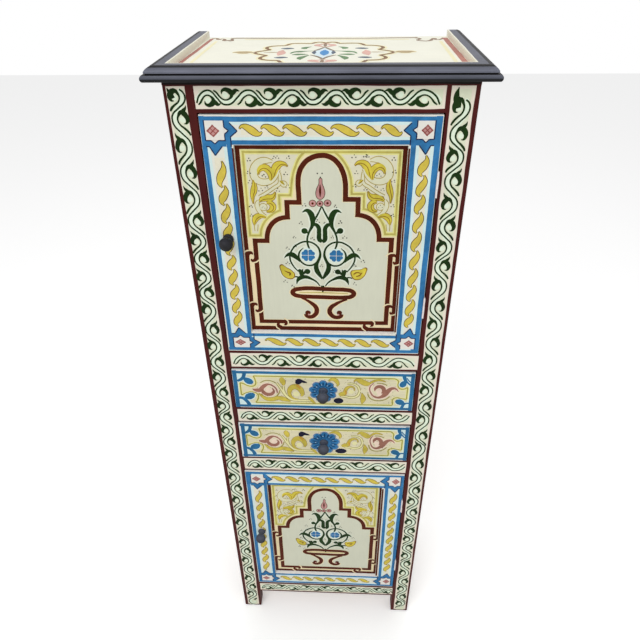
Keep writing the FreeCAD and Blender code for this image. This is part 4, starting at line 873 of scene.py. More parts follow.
# The lower door's panel is drawn like the upper one's, this much lower, in bolder lines and with
# its right line further out
for (door, base, top), up, bolder, right in zip(DOORS, (0.0, -692.0), (0.0, 0.45), (114.8, 116.6)):
    low, high = base + DOOR_RAIL, top - DOOR_RAIL
    paint = painter(door, door, front_face(PANEL_Y))
    dress(panel_ground, door + "_panel")
    foot_line, top_line = low + 16.8, high - 11.5
    arch = [[(x, foot_line if z == ARCH_FOOT else z + up) for x, z in run] for run in ARCH]
    follower = [[(x, top_line if z == FOLLOWER_TOP else z + up) for x, z in run] for run in FOLLOWER]
    outer = [((-114.6, low - 2), (-114.6, high)), ((right, low - 2), (right, high)),
             ((-113, low + 2.8), (113, low + 2.8)), ((-113, high - 2.8), (113, high - 2.8))]
    over_arch = [p for run in arch[1:10] for p in run[:-1]] + [arch[9][-1]]
    corner_area = [(-110, arch[1][0][1])] + over_arch
    corner_area += [(110, arch[9][-1][1]), (110, high - 2), (-110, high - 2)]
    inner_area = [p for run in follower[3:8] for p in run[:-1]] + [follower[7][-1], follower[8][0]]
    inner_area += [p for run in follower[8:12] for p in run[1:]]
    inner_area += [(-105.5, 1016 + up), (-105.5, top_line), (106.5, top_line), (106.5, 1020 + up)]
    paint("panel_border", peach_paint, 0.04,
        [band((-106.5, low + 6), (-106.5, 1012 + up), 9.5), band((107, low + 6), (107, 1014 + up), 9.5),
         band((-110, low + 10.8), (110, low + 10.8), 9.5)] + ruled(arch, 9.4, 4), areas=[corner_area])
    paint("panel_corners", spandrel_paint, 0.08, areas=[inner_area])
    paint("panel_yellow_edges", pale_yellow, 0.11, ruled(follower, 6.8, 3.2))
    paint("panel_yellow_lines", olive_paint, 0.15, ruled(follower, 3.0, 1.5))
    hooks, lights = knots(low, up)
    paint("panel_lines", maroon_paint, 0.16,
        [band(a, b, 9.6, 0.0) for a, b in outer] + ruled(arch, 7.2 + 2 * bolder, 3.5) +
        moved(hooks, thicker=bolder))
    paint("knot_lights", peach_paint, 0.2, moved(lights, thicker=bolder / 2))
    stems = moved(SCROLL_STEMS, 0, up) + moved(SCROLL_STEMS, 0.5, up + 1.8, -1)
    leaves = moved(SCROLL_LEAVES, 0, up) + moved(SCROLL_LEAVES, 0.5, up + 1.8, -1)
    balls = [(-52, 1095.5 + up, 4.5), (52.5, 1097.3 + up, 4.5), (-83, 1061 + up, 5.6),
             (83.5, 1062.8 + up, 5.6)]
    paint("scroll_rings", scroll_olive, 0.14, moved(stems, thicker=1.1),
        dots=[(u, v, r + 1.1) for u, v, r in balls])
    paint("scroll_outlines", scroll_brown, 0.17, moved(leaves, thicker=0.8))
    paint("scroll_stems", scroll_pale, 0.2, stems, dots=balls)
    paint("scroll_leaves", scroll_yellow, 0.23, leaves)
    paint("scroll_veins", scroll_brown, 0.25,
        [[(u + 0.25 * r, v - 0.3 * r, 0.5 if 0 < n < len(line) - 1 else 0.3)
          for n, (u, v, r) in enumerate(line)] for line in leaves])
    marks = specks(SCROLL_SPECKS, up) + specks([(0.5 - x, z + 1.8) for x, z in SCROLL_SPECKS], up)
    marks += specks(BOUQUET_SPECKS, up) + specks([(-83, 1061), (83.5, 1062.8)], up, (0.5, 0.8))
    marks += [(-5, 1111 + up, 1.0), (1.5, 1111 + up, 1.0), (-1, 1105.4 + up, 1.0)]
    paint("specks", dot_paint, 0.25, dots=marks)
    green = moved(STEMS_LEFT, 0, up) + moved(STEMS_LEFT, 1.2, up - 0.4, -1)
    balls = [(u, v + up, r) for u, v, r in STEM_BALLS]
    buds = [[(u, v + up) for u, v in bud] for bud in BUDS]
    middles = [(sum(p[0] for p in bud) / len(bud), sum(p[1] for p in bud) / len(bud)) for bud in buds]
    flowers = [(-20.5, 984.4 + up), (21.6, 983.8 + up)]
    feet = moved(FEET, 0, up, thicker=bolder)
    bowl = [(u, v + up, 3.75 + bolder) for u, v in BOWL]
    paint("bouquet_halo", bouquet_halo, 0.04, moved(green, thicker=2.2),
        dots=[(u, v, r + 2.2) for u, v, r in balls] + [(u, v, 12) for u, v in middles] +
        [(u, v, 17.5) for u, v in flowers])
    paint("bouquet_stems", bouquet_green, 0.13,
        moved(green, thicker=bolder) + [[(0.6, 931 + up, 2.6), (1, 924 + up, 2.4), (0.8, 919 + up, 0.9)]],
        dots=balls)
    outlines = [[(cu + (u - cu) * 1.14, cv + (v - cv) * 1.14) for u, v in bud]
                for bud, (cu, cv) in zip(buds, middles)]
    paint("bud_outlines", scroll_brown, 0.15, blobs=outlines)
    paint("buds", scroll_yellow, 0.18, blobs=buds)
    paint("bud_veins", scroll_brown, 0.21, moved(BUD_VEINS, 0, up))
    paint("flower_halos", cyan_paint, 0.16, dots=[(u, v, 12.4) for u, v in flowers])
    paint("flower_edges", petal_edge, 0.18,
        dots=[(cu + u, cv + v, r + 0.55) for cu, cv in flowers for u, v, r in FLOWER_LOBES])
    paint("flowers", blue_paint, 0.2,
        dots=[(cu + u, cv + v, r - 0.15) for cu, cv in flowers for u, v, r in FLOWER_LOBES])
    paint("flower_lines", white_paint, 0.24, [
        [(cu + u0, cv + v0, 0.3), (cu + u1, cv + v1, 0.3)] for cu, cv in flowers
        for u0, v0, u1, v1 in ((0, -9, 0, 8.4), (-9.2, -0.4, 9.2, -0.4))])
    paint("bowl_halo", peach_paint, 0.05, moved(feet, thicker=1.8),
        rings=[[(u, v, 5.2) for u, v, _ in bowl]])
    paint("bowl_inside", peach_paint, 0.08,
        [[(-40, 917.6 + up, 6.0), (0, 917.8 + up, 6.4), (44, 916.6 + up, 6.0)]])
    paint("bowl", maroon_paint, 0.14, feet, rings=[bowl],
        dots=[(-23.3, 879.8 + up, 4.8), (27, 880.6 + up, 4.6)])
    paint("bowl_line", olive_paint, 0.18,
        [[(-36, 918 + up, 0.6), (0, 918.2 + up, 0.9), (40, 917 + up, 0.6)]])
    discs = [(-12.4, 1067 + up, 5.0), (-2, 1066.8 + up, 4.4), (8.8, 1067.6 + up, 5.0)]
    paint("tip_outline", outline_brown, 0.12, rings=[[(u, v + up, 0.9) for u, v in TEARDROP]],
        dots=[(u, v, r + 0.8) for u, v, r in discs])
    paint("tip", rose_paint, 0.16, blobs=[[(u, v + up) for u, v in TEARDROP]], dots=discs)
    paint("tip_veins", maroon_paint, 0.2,
        [[(-1.4, 1095 + up, 0.5), (-1.5, 1086 + up, 1.6), (-1.5, 1077 + up, 0.6)]],
        dots=[(u, v, 2) for u, v, r in discs])
    paint("feet_spots", rose_paint, 0.18, dots=[(-22, 876.5 + up, 1.8), (25.4, 876.8 + up, 1.8)])


# Drawers: each front is one pine board, rebated for the sides and glued to them. A blue line
# frames a pale beige ground; blue leaves turn its corners, a blue flower sits behind the knob, and
# rose and yellow scrolls run out to both ends.
drawer_ground = new_paint("drawer_ground", "e0e1e0", 0.03, "across")
drawer_field = new_paint("drawer_field", "d3ccab", 0.1, "across")
drawer_blue = new_paint("drawer_blue", "27658f", 0.3)
drawer_light = new_paint("drawer_light", "d3decb", 0.06, "across")
field_line = new_paint("field_line", "928845", 0.16)
ochre_paint = new_paint("ochre_paint", "bfae48", 0.22)
drawer_rose = new_paint("drawer_rose", "926555", 0.25)
rose_halo = new_paint("rose_halo", "e3cdba", 0.06)
curl_pale = new_paint("curl_pale", "ddd8a2", 0.08)
orange_paint = new_paint("orange_paint", "bd9338", 0.2)
flower_shade = new_paint("flower_shade", "173f66", 0.2)
blue_black = new_paint("blue_black", "14142a", 0.2)
speck_brown = new_paint("speck_brown", "6f6749", 0.3)

# On a drawer, from its middle: leaves and bars of its four corners, and the scrolls between them
CORNER_LEAVES = [
    [(-138.4, 25.6, 2.6), (-134.6, 22.8, 5.2), (-130.4, 19.4, 6.6), (-126.4, 16.2, 5.6), (-123.6, 13.6, 2.6)],
    [(-139, -21.4, 3.0), (-135, -18.6, 6.2), (-130.4, -16, 7.2), (-126, -12.6, 5.8), (-122.8, -9.4, 2.4)],
    [(141.6, 26.0, 2.6), (139.8, 22.6, 4.8), (138, 18.6, 5.8), (136.6, 14.6, 4.6), (136, 12.0, 2.2)],
    [(143.4, -27.0, 2.4), (139.6, -25.2, 5.0), (135.2, -22.8, 6.2), (131, -20.4, 5.4), (128.2, -18.4, 2.6)],
]
CORNER_BARS = [
    [(-150, 19.4, 2.4), (-144.6, 21.8, 2.9), (-139.6, 26.6, 3.2), (-137.4, 32, 3.2), (-136.4, 38, 3.4)],
    [(-150, -19.8, 3.0), (-143.6, -21.4, 3.2), (-138, -26.8, 3.4), (-134.8, -32, 3.5), (-133, -38, 3.8)],
    [(151, 17, 1.3), (146, 22.4, 1.7), (142, 27.2, 2.6), (140, 32, 3.1), (139, 38, 3.4)],
    [(152, 22, 1.1), (147.6, 27, 1.1), (143.6, 33, 1.1)],
    [(152, -25, 1.6), (145, -26, 2.0), (141.6, -29.6, 2.6), (140, -34, 2.8), (139, -38, 3.0)],
]
ROSE_SCROLLS = [
    [(-124, 0.2, 1.8), (-118, -1.4, 3.8), (-111, -1, 4.2), (-107, 5, 3.8), (-102, 10, 3.5), (-96, 12.6, 2.0),
     (-88, 9, 1.5), (-82.6, 2, 1.4), (-81, -7, 1.2)],
    [(-106.6, 1, 1.6), (-106.4, -4, 3.2), (-103, -8.8, 3.8), (-96.4, -11, 3.7), (-90, -8.4, 3.2),
     (-87.2, -2, 2.0), (-89.6, 4, 0.9)],
    [(131.4, 2.2, 0.6), (125.4, 8.6, 1.9), (119.4, 8.6, 3.2), (113, 2.4, 4.5), (108, -5.8, 4.6),
     (102.4, -11, 3.2), (96, -13, 2.3), (88, -9.6, 1.7), (83.2, -2, 1.2), (81, 6, 1.0), (82.6, 14, 1.0),
     (88, 19.6, 0.7)],
    [(90, 2, 0.8), (91, 8, 2.6), (97, 12.6, 3.6), (103.6, 10, 3.8), (106, 3.4, 3.6), (105, -3.6, 3.6)],
]
ROSE_RINGS = [
    [(-110, -10, 0.8), (-104.4, -16.6, 1.0), (-95, -19.4, 1.0), (-86, -17.2, 1.0), (-79.4, -10, 1.0),
     (-76.4, -1, 0.8)],
    [(-110, 16, 0.7), (-101, 21, 0.8), (-91, 20.6, 0.8), (-82, 15.6, 0.8)],
    [(78, -4, 0.8), (80.4, -12, 0.9), (87, -18.4, 0.9), (98, -20.6, 0.9), (109, -17.4, 0.9), (117, -10, 0.8)],
    [(93, 20.4, 0.7), (103, 19.6, 0.8), (111, 15.6, 0.8)],
]
YELLOW_SCROLLS = [
    [(-69.6, 10.6, 1.0), (-69.4, 15, 3.4), (-70.6, 20.6, 4.6), (-71.6, 25, 3.8), (-70.8, 28.8, 1.4)],
    [(-45, -21.4, 1.0), (-53, -19.6, 1.7), (-58.6, -12, 2.4), (-59.6, -3, 3.5), (-56, 5, 4.7),
     (-49.6, 8.6, 5.4), (-42.6, 5.4, 5.2), (-38.2, -2, 4.3), (-37, -9, 3.0), (-39, -14, 1.0)],
    [(-114, -8.6, 0.8), (-108, -16.6, 2.2), (-100, -21.8, 3.8), (-90, -22.2, 4.1), (-80, -19, 3.9),
     (-72, -20.8, 4.8), (-65, -24, 3.0), (-58.4, -26.8, 0.8)],
    [(-26.4, -14.6, 1.0), (-22.4, -20.4, 2.6), (-18.2, -26.4, 2.2), (-14, -30.4, 0.6)],
    [(9, 22.6, 0.7), (14.6, 26.6, 2.4), (20.4, 26, 3.4), (24.4, 20.6, 3.2), (25.8, 15, 1.7), (23.6, 11, 0.6)],
    [(53, 23, 0.8), (58, 26.8, 2.4), (62.6, 25.4, 4.3), (68.4, 22, 5.2), (75.6, 18.6, 5.0),
     (81.4, 18.8, 2.8)],
    [(80, 18, 1.0), (86, 23.6, 1.8), (92, 26.4, 1.8), (99, 26.8, 1.6), (108, 23.8, 0.6)],
    [(27.6, -9, 2.2), (32.4, -7, 4.6), (37, -5, 3.8), (38.8, 1.6, 2.8), (42, 8, 2.8), (48, 11.2, 1.9),
     (53.4, 8.4, 1.1), (55, 1.6, 0.7)],
    [(67.6, -3.4, 0.6), (69.4, -9.6, 2.8), (70.4, -17, 4.4), (69.4, -23.6, 2.8), (68.6, -29, 0.6)],
]
YELLOW_STEMS = [
    [(-80.6, 15.6, 0.9), (-75, 5, 1.3), (-69.6, -6, 1.7), (-64, -15, 2.0), (-57, -21.6, 1.9),
     (-44, -23.6, 1.7), (-21, -24, 1.2)],
    [(-69.6, 9, 0.9), (-69.4, 0, 1.0), (-67.4, -8, 1.1)],
    [(64, 0, 1.3), (60, -10, 1.5), (50, -14.6, 1.6), (40, -12.6, 1.5), (32, -12, 0.8)],
    [(63.6, 2, 1.2), (60.6, 11.6, 1.3), (52, 17.4, 1.2), (42, 17.6, 0.9)],
]
NAVY_LEAVES = [[(-48.4, 20.4, 3.6), (-44.6, 20, 6.2), (-40.4, 21, 5.8), (-36.4, 20.8, 3.2), (-32, 19.4, 2.4),
                (-28.4, 18.6, 1.2)],
               [(18.6, -23, 2.6), (22.4, -22.8, 5.6), (28, -22.6, 6.6), (32.4, -22.4, 5.2), (35.4, -22, 2.4)]]
PALE_CURLS = [(-47.6, -9, 6.0), (49, -1, 5.0), (-96, 0.2, 5.6), (97.6, 0.4, 5.0), (98, -5.4, 3.6)]


def field_lines(half):
    """The olive line round the field, which steps in round the corner leaves."""
    w, h = 145.5, half
    return [
        [(-121, h), (124, h)], [(-121, -h), (122, -h)], [(-w, 15), (-w, -14)], [(w + 1, 12), (w + 1, -16)],
        [(-121, h), (-118.4, 22), (-118.6, 12), (-124, 7.4), (-132, 8.4), (-138.6, 12.4), (-w, 15)],
        [(-121, -h), (-116.4, -22), (-117, -10), (-125, -6), (-136, -8.4), (-w, -14)],
        [(124, h), (129.4, 26), (129.6, 16), (133, 9), (140, 8), (w + 1, 12)],
        [(122, -h), (122.6, -26), (122, -18), (128, -12.6), (137, -14.6), (w + 1, -16)],
    ]


# Each drawer's middle, half its height, its flower's radius and how far its scrolls sit to the right
DRAWERS = (("upper_drawer", 719.8, 44.0, 24.5, 0.0), ("lower_drawer", 590.6, 45.5, 28.2, 1.5))
for drawer, middle, half, flower, shift in DRAWERS:
    paint = painter(drawer, drawer, front_face(DOOR_Y))
    dress(drawer_ground, drawer + "_front")
    far, near = half - 4.9, half - 9.8
    paint("light_lines", drawer_light, 0.04,
        [band((x, middle - near), (x, middle + near), 6) for x in (-148.6, 148.6)] +
        [band((-151, z), (151, z), 6) for z in (middle + near, middle - near)])
    field = [(-146.4, middle - near + 2), (147, middle - near + 2), (147, middle + near - 2),
             (-146.4, middle + near - 2)]
    paint("field", drawer_field, 0.06, areas=[field])
    paint("corner_halos", cyan_paint, 0.1,
        moved(CORNER_LEAVES, 0, middle, thicker=1.7) + moved(CORNER_BARS, 0, middle, thicker=1.5),
        areas=[[(x, middle + z0), (x, middle + z1), (x * 0.9, middle + z1)] for x, z0, z1 in
               ((-150, 19, far - 1), (-150, -19, 1 - far), (151, 22, far - 1), (151, -22, 1 - far))])
    left = -153.8 + 2 * shift
    paint("blue_lines", drawer_blue, 0.15, [
        band((left, middle - half), (left, middle + half), 7.4, -0.8),
        band((154.2, middle - half), (154.2, middle + half), 6.6, -0.8),
        band((-156, middle + far), (156, middle + far), 5.8),
        band((-156, middle - far), (156, middle - far), 5.6)] +
        moved(CORNER_LEAVES + CORNER_BARS, 0, middle))

    def slid(across):
        """Where a brush mark falls: the lower drawer's scrolls sit further to the right."""
        swell = 5.3 * math.sin(math.pi * (across - 12) / 84) if 12 < across < 96 else 0
        return across + shift * (1 + swell)

    def at(lines, thicker=0.0):
        return [[(slid(u), v + middle, r + thicker) for u, v, r in line] for line in lines]

    paint("field_edges", pale_yellow, 0.08,
        [[(u, v + middle, 2.5) for u, v in run] for run in field_lines(half - 13)])
    paint("field_lines", field_line, 0.1,
        [[(u, v + middle, 1.0) for u, v in run] for run in field_lines(half - 13)])
    paint("rose_halos", rose_halo, 0.09, at(ROSE_SCROLLS, 2.0))
    paint("scroll_rings", field_line, 0.11, at(YELLOW_STEMS, 1.3) + at(ROSE_RINGS, 0.2))
    paint("scroll_stems", curl_pale, 0.14, at(YELLOW_STEMS, 0.1))
    paint("scroll_outlines", scroll_brown, 0.12, at(YELLOW_SCROLLS, 0.6))
    paint("scrolls", ochre_paint, 0.16, at(YELLOW_SCROLLS))
    paint("pale_curls", curl_pale, 0.19, dots=[(slid(u), v + middle, r) for u, v, r in PALE_CURLS[:2]])
    paint("rose_curls", rose_halo, 0.19, dots=[(slid(u), v + middle, r) for u, v, r in PALE_CURLS[2:]])
    paint("rose_scrolls", drawer_rose, 0.2, at(ROSE_SCROLLS))
    paint("orange_touches", orange_paint, 0.21, at([
        [(-46.6, 13, 1.0), (-44.6, 11, 3.0), (-42, 8, 2.4), (-40.6, 3, 1.2)],
        [(40, -8, 1.2), (39.4, -1, 1.6), (37.6, 3, 0.8)]]))
    paint("dark_leaves", blue_black, 0.18, at(NAVY_LEAVES))

    def petal(angle, *marks):
        """Marks on the flower, each at a share of its radius, with the brush's radius."""
        return [(shift + flower * reach * math.cos(angle), middle - 0.8 + flower * reach * math.sin(angle), r)
                for reach, r in marks]

    lobes, ribs = [], []
    for number in range(9):
        angle = math.radians(90 + 40 * number)
        lobes += petal(angle, (0.73, flower * 0.29))
        ribs.append(petal(angle, (0.5, 0.6), (0.7, 1.5), (0.84, 0.5)))
        ribs.append(petal(angle + 0.35, (0.5, 0.9), (0.68, 1.1), (0.82, 0.5)))
    paint("flower_halo", white_paint, 0.19, dots=[(u, v, r + 2.0) for u, v, r in lobes])
    paint("flower", blue_paint, 0.22, dots=lobes + petal(0, (0, flower * 0.78)))
    rings = [[(u + r * math.cos(0.785 * n), v + r * math.sin(0.785 * n), 0.5) for n in range(8)]
             for u, v, r in lobes]
    paint("flower_ribs", flower_shade, 0.25, ribs, rings)
    paint("flower_lights", cyan_paint, 0.27,
        dots=[mark for n in range(9) for mark in petal(0.35 + 0.7 * n, (0.6, 0.9))])
    marks = [(hand.uniform(-128, 128), middle + hand.uniform(-half + 15, half - 15),
              hand.uniform(0.45, 0.85)) for _ in range(280)]
    paint("specks", speck_brown, 0.13, dots=marks)


# Top board: pine that lies flush on the posts and is rebated for the moulding, cream above and
# maroon round its edges. A rose line follows the moulding, and a cusped medallion with small
# leaves fills the middle.

# The height, in metres, up to which the edges are maroon; in millimetres the middle of the
# drawing, behind the cabinet's, and the board's upper face
EDGE_TOP = 1.2412
TOP_MIDDLE, TOP_FACE = 12, 1242


def top_edges(tree, split):
    return below(tree, split["Z"], EDGE_TOP)


dress(lined_paint("top_paint", "ecebdc", STRIPE, "across", top_edges), "top_board")
paint = painter("top", "carcass", Matrix.Translation((0, TOP_MIDDLE, TOP_FACE)))
top_rose = new_paint("top_rose", "b27a70", 0.2)
top_pink = new_paint("top_pink", "d8aca0", 0.14)
top_brown = new_paint("top_brown", "84664a", 0.22)
top_tan = new_paint("top_tan", "b39f7b", 0.2)
top_yellow = new_paint("top_yellow", "eee7c0", 0.05)
top_slate = new_paint("top_slate", "56616f", 0.22)
top_green = new_paint("top_green", "67875f", 0.25)
top_sky = new_paint("top_sky", "d4e4ea", 0.08)
top_blue = new_paint("top_blue", "4a8ac2", 0.12)
top_knot = new_paint("top_knot", "97806c", 0.2)
top_stem = new_paint("top_stem", "8b7d6c", 0.2)
MEDALLION = (
    [(99, 1), (95, 8), (87, 15), (79, 21.5)],
    [(79, 21.5), (85, 33), (85.5, 42), (82, 49), (74, 54.5), (59, 57)],
    [(59, 57), (56, 66), (52, 73), (46, 75.5), (20, 74)], [(20, 74), (17, 81.5), (11, 86), (4, 83), (0, 77)],
)


def four_ways(line):
    return [[(x * p[0], y * p[1]) + tuple(p[2:]) for p in line] for x in (1, -1) for y in (1, -1)]


def both_sides(*lines):
    return moved(lines) + moved(lines, spread=-1)


medallion = [way for run in MEDALLION for way in four_ways([(u, v, 2.7) for u, v in run])]
finials = both_sides([(101, 1, 1.5), (107, 3, 6.6), (115, 2, 8.4), (123, 4, 6.0), (131, 2, 0.6)])
paint("medallion_halo", top_yellow, 0.05, moved(medallion + finials, thicker=3.4))
paint("medallion", top_brown, 0.14, medallion)
paint("finials", top_tan, 0.12, finials + both_sides([(66, 1, 1.2), (74, 2, 2.6), (86, 1, 0.8)]))
paint("sky", top_sky, 0.08, areas=[[(0, 40), (13, 12), (13, -14), (0, -44), (-13, -14), (-13, 12)]])
paint("lozenge", top_stem, 0.12, both_sides([(0, 42, 2.0), (5, 31, 2.2), (11, 18, 2.2), (16, 10, 1.2)]) +
      both_sides([(0, -50, 2.0), (4, -38, 2.2), (12, -25, 2.2), (18, -19, 1.2)]))
paint("side_blues", top_slate, 0.13, both_sides([(13, 11, 1.0), (14, 0, 3.2), (13, -12, 1.0)]))
paint("blue", top_blue, 0.12, [[(1, 20, 1.0), (1, 10, 5.2), (1, -2, 6.4), (1, -13, 5.0), (1, -23, 1.0)]])
paint("green", top_green, 0.12, both_sides(
    [(20, 46, 1.0), (26, 42, 3.6), (30, 36, 5.0), (28, 28, 2.6)],
    [(16, 12, 1.2), (26, 10, 2.2), (35, 7, 5.2), (42, 4, 3.2), (47, -8, 1.0)],
    [(22, -14, 1.2), (30, -14, 4.4), (38, -15, 5.0), (44, -16, 1.4)],
    [(20, -20, 1.2), (25, -28, 3.0), (30, -37, 5.0), (31, -46, 3.4), (30, -52, 0.8)]))
paint("rose_leaves", top_pink, 0.12, both_sides(
    [(60, 19, 1.2), (61, 8, 5.0), (60, -2, 6.0), (61, -12, 5.0), (63, -22, 0.8)],
    [(2, 44, 1.2), (9, 53, 3.8), (13, 60, 4.2), (5, 68, 3.0), (0, 76, 1.2)],
    [(2, -52, 1.2), (9, -57, 3.8), (16, -58, 4.2), (6, -66, 3.0), (0, -76, 1.2)]))
paint("rose_stems", top_knot, 0.16, [
    [(0, 46, 1.2), (0, 58, 2.6), (0, 76, 1.4)], [(0, -52, 1.2), (0, -62, 2.6), (0, -80, 1.4)]])
paint("slate_leaves", top_slate, 0.12, both_sides(
    [(45, 32, 1.6), (51, 33, 5.0), (58, 32, 5.2), (64, 32, 1.6)],
    [(48, -37, 1.6), (54, -36, 5.0), (61, -37, 5.2), (67, -37, 1.6)]))
paint("rose_lines", top_rose, 0.12, [band((-189.2, -112), (-184.5, 122), 5.6),
                                     band((187.6, -112), (186.4, 122), 8.0)])
paint("rear_line", top_knot, 0.1, [
    band((-148, 128), (-60, 124), 7.0), band((-60, 124), (60, 121), 6.0), band((60, 121), (144, 125), 7.0),
    [(-184, 122, 2.6), (-181, 128, 2.4), (-176, 124, 2.6), (-172.6, 116, 3.0), (-169, 122, 2.0),
     (-163.6, 118, 2.6), (-160.6, 104, 3.2), (-156, 108, 2.4), (-151, 102, 3.0), (-150, 112, 2.4),
     (-152, 124, 2.6), (-146, 128, 3.2)],
    [(185, 122, 2.6), (180, 110, 2.4), (174, 104, 2.6), (170, 106, 3.0), (169.6, 116, 2.4), (165, 108, 2.2),
     (162, 98, 3.2), (155, 92, 3.0), (148, 94, 3.0), (142, 99, 2.4), (147, 113, 2.6), (141, 123, 3.0)]])
paint("yellow_lines", top_yellow, 0.1, [
    band((-175, -112), (-173, 98), 5.0), band((176, -112), (176, 90), 5.0),
    band((-130, 114), (130, 109), 6.0)])


# Moulding: raised pine, mitred and pinned round three sides of the top, in satin charcoal paint with painted
# light:
# grey painted highlights on what faces up and on its rolls, painted shade below and in its grooves. Its inner
# wall is cream like the top.

# In metres: the two grooves, darkened as painted shade, one by how far it stands out from the posts and one
# by its height; the foot of the upper band and the lowest and highest of its painted highlight; the inner
# wall
GROOVE_OUT, GROOVE_UP = (0.0044, 0.0114), (1.2419, 1.2438)
BAND_FOOT, BAND_LIGHT, BAND_SHADE = 1.2437, 1.2444, 1.2496
INNER_WALL = -0.0062
PAINTED_SHADE_BLACK = "08080b"


def moulding_colour(tree, height):
    """Painted light: grey on what faces up as a painted highlight, dark below as painted shade, and a painted
    highlight at the foot of the upper band.
    """
    ramp = add_node(tree, "ValToRGB", (), (), {0: between(tree, facing_up(tree), -1.0, 1.0, 0.0, 1.0)})
    stops = ramp.color_ramp.elements
    stops[0].position, stops[0].color = 0.42, paint_colour(PAINTED_SHADE_BLACK)
    stops[1].position, stops[1].color = 0.95, paint_colour("5c5e69")
    stops.new(0.56).color = paint_colour("484b55")
    lit = worked_out(tree, "MULTIPLY", above(tree, height, BAND_FOOT),
                     between(tree, height, BAND_SHADE, BAND_LIGHT, 0.0, 0.8))
    return mixed(tree, lit, ramp.outputs[0], "787b89")


def inside(tree, value, low, high, soft=0.0002):
    return worked_out(tree, "MULTIPLY", above(tree, value, low, soft), below(tree, value, high, soft))


charcoal, char_tree, char_shader = new_finish("charcoal_paint", 0.4, 0.2)
char_split = split_place(char_tree)
char_brush = add_node(char_tree, "Group", {"node_tree": brushwork},
                      {"Along": BRUSHED["across"], "Contrast": 0.16},
                      {"Paint": moulding_colour(char_tree, char_split["Z"])})
# How far a point stands out from the posts, at the sides or in front, whichever is more
proud = either(char_tree, worked_out(char_tree, "SUBTRACT",
                                     worked_out(char_tree, "ABSOLUTE", char_split["X"]), 0.2),
               worked_out(char_tree, "MULTIPLY_ADD", char_split["Y"], -1.0, FRAME_Y * MM))
# The two grooves are painted near black: painted shade in the recesses.
dark = either(char_tree, inside(char_tree, proud, *GROOVE_OUT, 0.0004),
              inside(char_tree, char_split["Z"], *GROOVE_UP))
shaded = mixed(char_tree, dark, char_brush.outputs["Colour"], PAINTED_SHADE_BLACK)
inner_wall = below(char_tree, by_hand(char_tree, proud, 0.0008), INNER_WALL)
brush_on(char_tree, char_shader, mixed(char_tree, inner_wall, shaded, "e6e3d2"), char_brush, 0.5, 0.0001)
dress(charcoal, "moulding_front", "moulding_left", "moulding_right")
# A near-black band across the rails and posts under the moulding: painted shadow cast by the moulding.
cut_line = new_paint("cut_line", "17100f", 0.3, "across")
painter("moulding", "carcass", front_face(FRAME_Y))(
    "cut_line", cut_line, 0.09, [band((-198.5, 1230.6), (198.5, 1230.6), 6.0)])


# Knobs: turned hardwood with a flange, a waist and a ball, dipped in black paint and held by spigots in the
# doors and drawer fronts.
# Their upper faces are painted lighter as a painted highlight, grey on all but the upper door's, and their
# undersides near black as painted shade.
for name, over, knob_nodes in (
        ("knob_black", "22222a", ("upper_door_knob",)),
        ("knob_grey_highlight", "4c505e", ("lower_door_knob", "upper_drawer_knob", "lower_drawer_knob"))):
    knob_paint, knob_tree, knob_shader = new_finish(name, 0.45, 0.25)
    knob_brush = brushed(knob_tree, "101012", "round", 0.4)
    facing = facing_up(knob_tree)
    # Painted light: upper faces turn towards the lighter colour as a painted highlight, and faces that look
    # down go near black as painted shade.
    lit = mixed(knob_tree, between(knob_tree, facing, -0.2, 0.9, 0.0, 1.0),
                knob_brush.outputs["Colour"], over)
    painted_shade_colour = mixed(knob_tree, between(knob_tree, facing, -0.1, -0.6, 0.0, 0.85), lit, "030303")
    brush_on(knob_tree, knob_shader, painted_shade_colour, knob_brush, 0.5, 0.0001)
    dress(knob_paint, *knob_nodes)


# Hinges and pins: pressed steel butts let into the edges and painted over with the frame, the
# bare steel screws that hold them, and round wire pins that hold the moulding and the back.

# Beyond this line, in metres, the hinges are maroon like the posts' edges
HINGE_LINE = 0.1592


def hinge_lines(tree, split):
    return above(tree, by_hand(tree, split["X"], 0.0008, 60.0), HINGE_LINE)


hinge_steel, steel_tree, steel_shader = new_finish("hinge_steel", 0.35)
steel_shader.inputs["Metallic"].default_value = 1.0
steel_brush = add_node(steel_tree, "Group", {"node_tree": brushwork}, {
    "Paint": paint_colour("d8d2cc"), "Along": (90, 90, 90), "Contrast": 0.1})
steel_tree.links.new(steel_brush.outputs["Colour"], steel_shader.inputs["Base Color"])
steel_tree.links.new(steel_brush.outputs["Roughness"], steel_shader.inputs["Roughness"])
dress(hinge_steel, "frame_hinge_screws", "panel_pins", "upper_door_hinge_screws", "lower_door_hinge_screws")
dress(lined_paint("hinge_paint", "e9dedb", STRIPE, "round", hinge_lines),
      "hinge_frame_leaves", "hinge_pins", "upper_door_hinge_leaves", "lower_door_hinge_leaves")


# Studio: a pale floor, soft light from above and the front, and the camera where the
# photographer stood.
bpy.ops.mesh.primitive_plane_add(size=12)
floor = bpy.context.object
floor.name = "studio_floor"


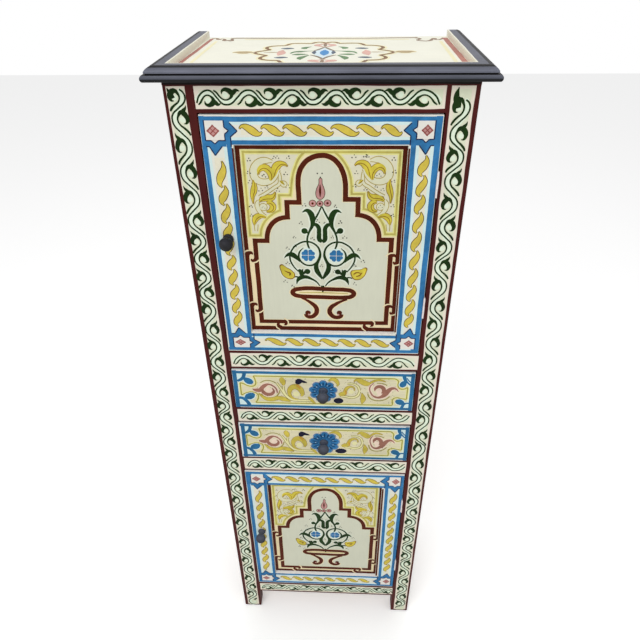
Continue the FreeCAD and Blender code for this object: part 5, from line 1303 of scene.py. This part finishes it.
def background_rays(tree):
    """1 for what the camera sees, straight or in a shiny or clear surface."""
    rays = add_node(tree, "LightPath").outputs
    return either(tree, rays["Is Camera Ray"], rays["Is Glossy Ray"], rays["Is Transmission Ray"])


floor_paint, floor_tree, floor_shader = new_finish("floor_paint", 0.9, 0.0)
floor_shader.inputs["Base Color"].default_value = (0.93, 0.93, 0.93, 1)
seen = worked_out(floor_tree, "MULTIPLY", background_rays(floor_tree), 0.28)
floor_shader.inputs["Emission Color"].default_value = (1, 1, 1, 1)
floor_tree.links.new(seen, floor_shader.inputs["Emission Strength"])
floor.data.materials.append(floor_paint)

world = bpy.data.worlds.new("studio")
world.use_nodes = True
bpy.context.scene.world = world
sky = world.node_tree.nodes["Background"]
sky.inputs["Color"].default_value = (1, 1, 1, 1)
lit = add_node(world.node_tree, "Mix", {"data_type": "FLOAT"}, {2: 0.62, 3: 1.0},
               {0: background_rays(world.node_tree)})
world.node_tree.links.new(lit.outputs[0], sky.inputs["Strength"])

for name, place, aim, size, power in (
        ("key_light", (-1.1, -2.4, 3.1), (0, 0, 0.8), 1.8, 40),
        ("fill_light", (1.8, -2.2, 1.4), (0, 0, 0.6), 2.2, 10),
        ("top_light", (0.2, 0.9, 3.2), (0, 0, 1.2), 1.6, 14)):
    lamp = bpy.data.lights.new(name, "AREA")
    lamp.size = size
    lamp.energy = power
    light = bpy.data.objects.new(name, lamp)
    bpy.context.scene.collection.objects.link(light)
    light.location = place
    light.rotation_euler = (Vector(aim) - Vector(place)).to_track_quat("-Z", "Y").to_euler()

camera = bpy.data.objects.new("camera", bpy.data.cameras.new("camera"))
bpy.context.scene.collection.objects.link(camera)
camera.data.lens = 31.94
camera.data.sensor_width = 36
turn = Matrix.Rotation(math.radians(3.032), 4, "Z") @ Matrix.Rotation(math.radians(90 - 34.837), 4, "X")
roll = Matrix.Rotation(math.radians(-0.821), 4, "Z")
camera.matrix_world = Matrix.Translation((0.03567, -0.86601, 1.3909)) @ turn @ roll
bpy.context.scene.camera = camera
bpy.context.scene.view_settings.view_transform = "Standard"
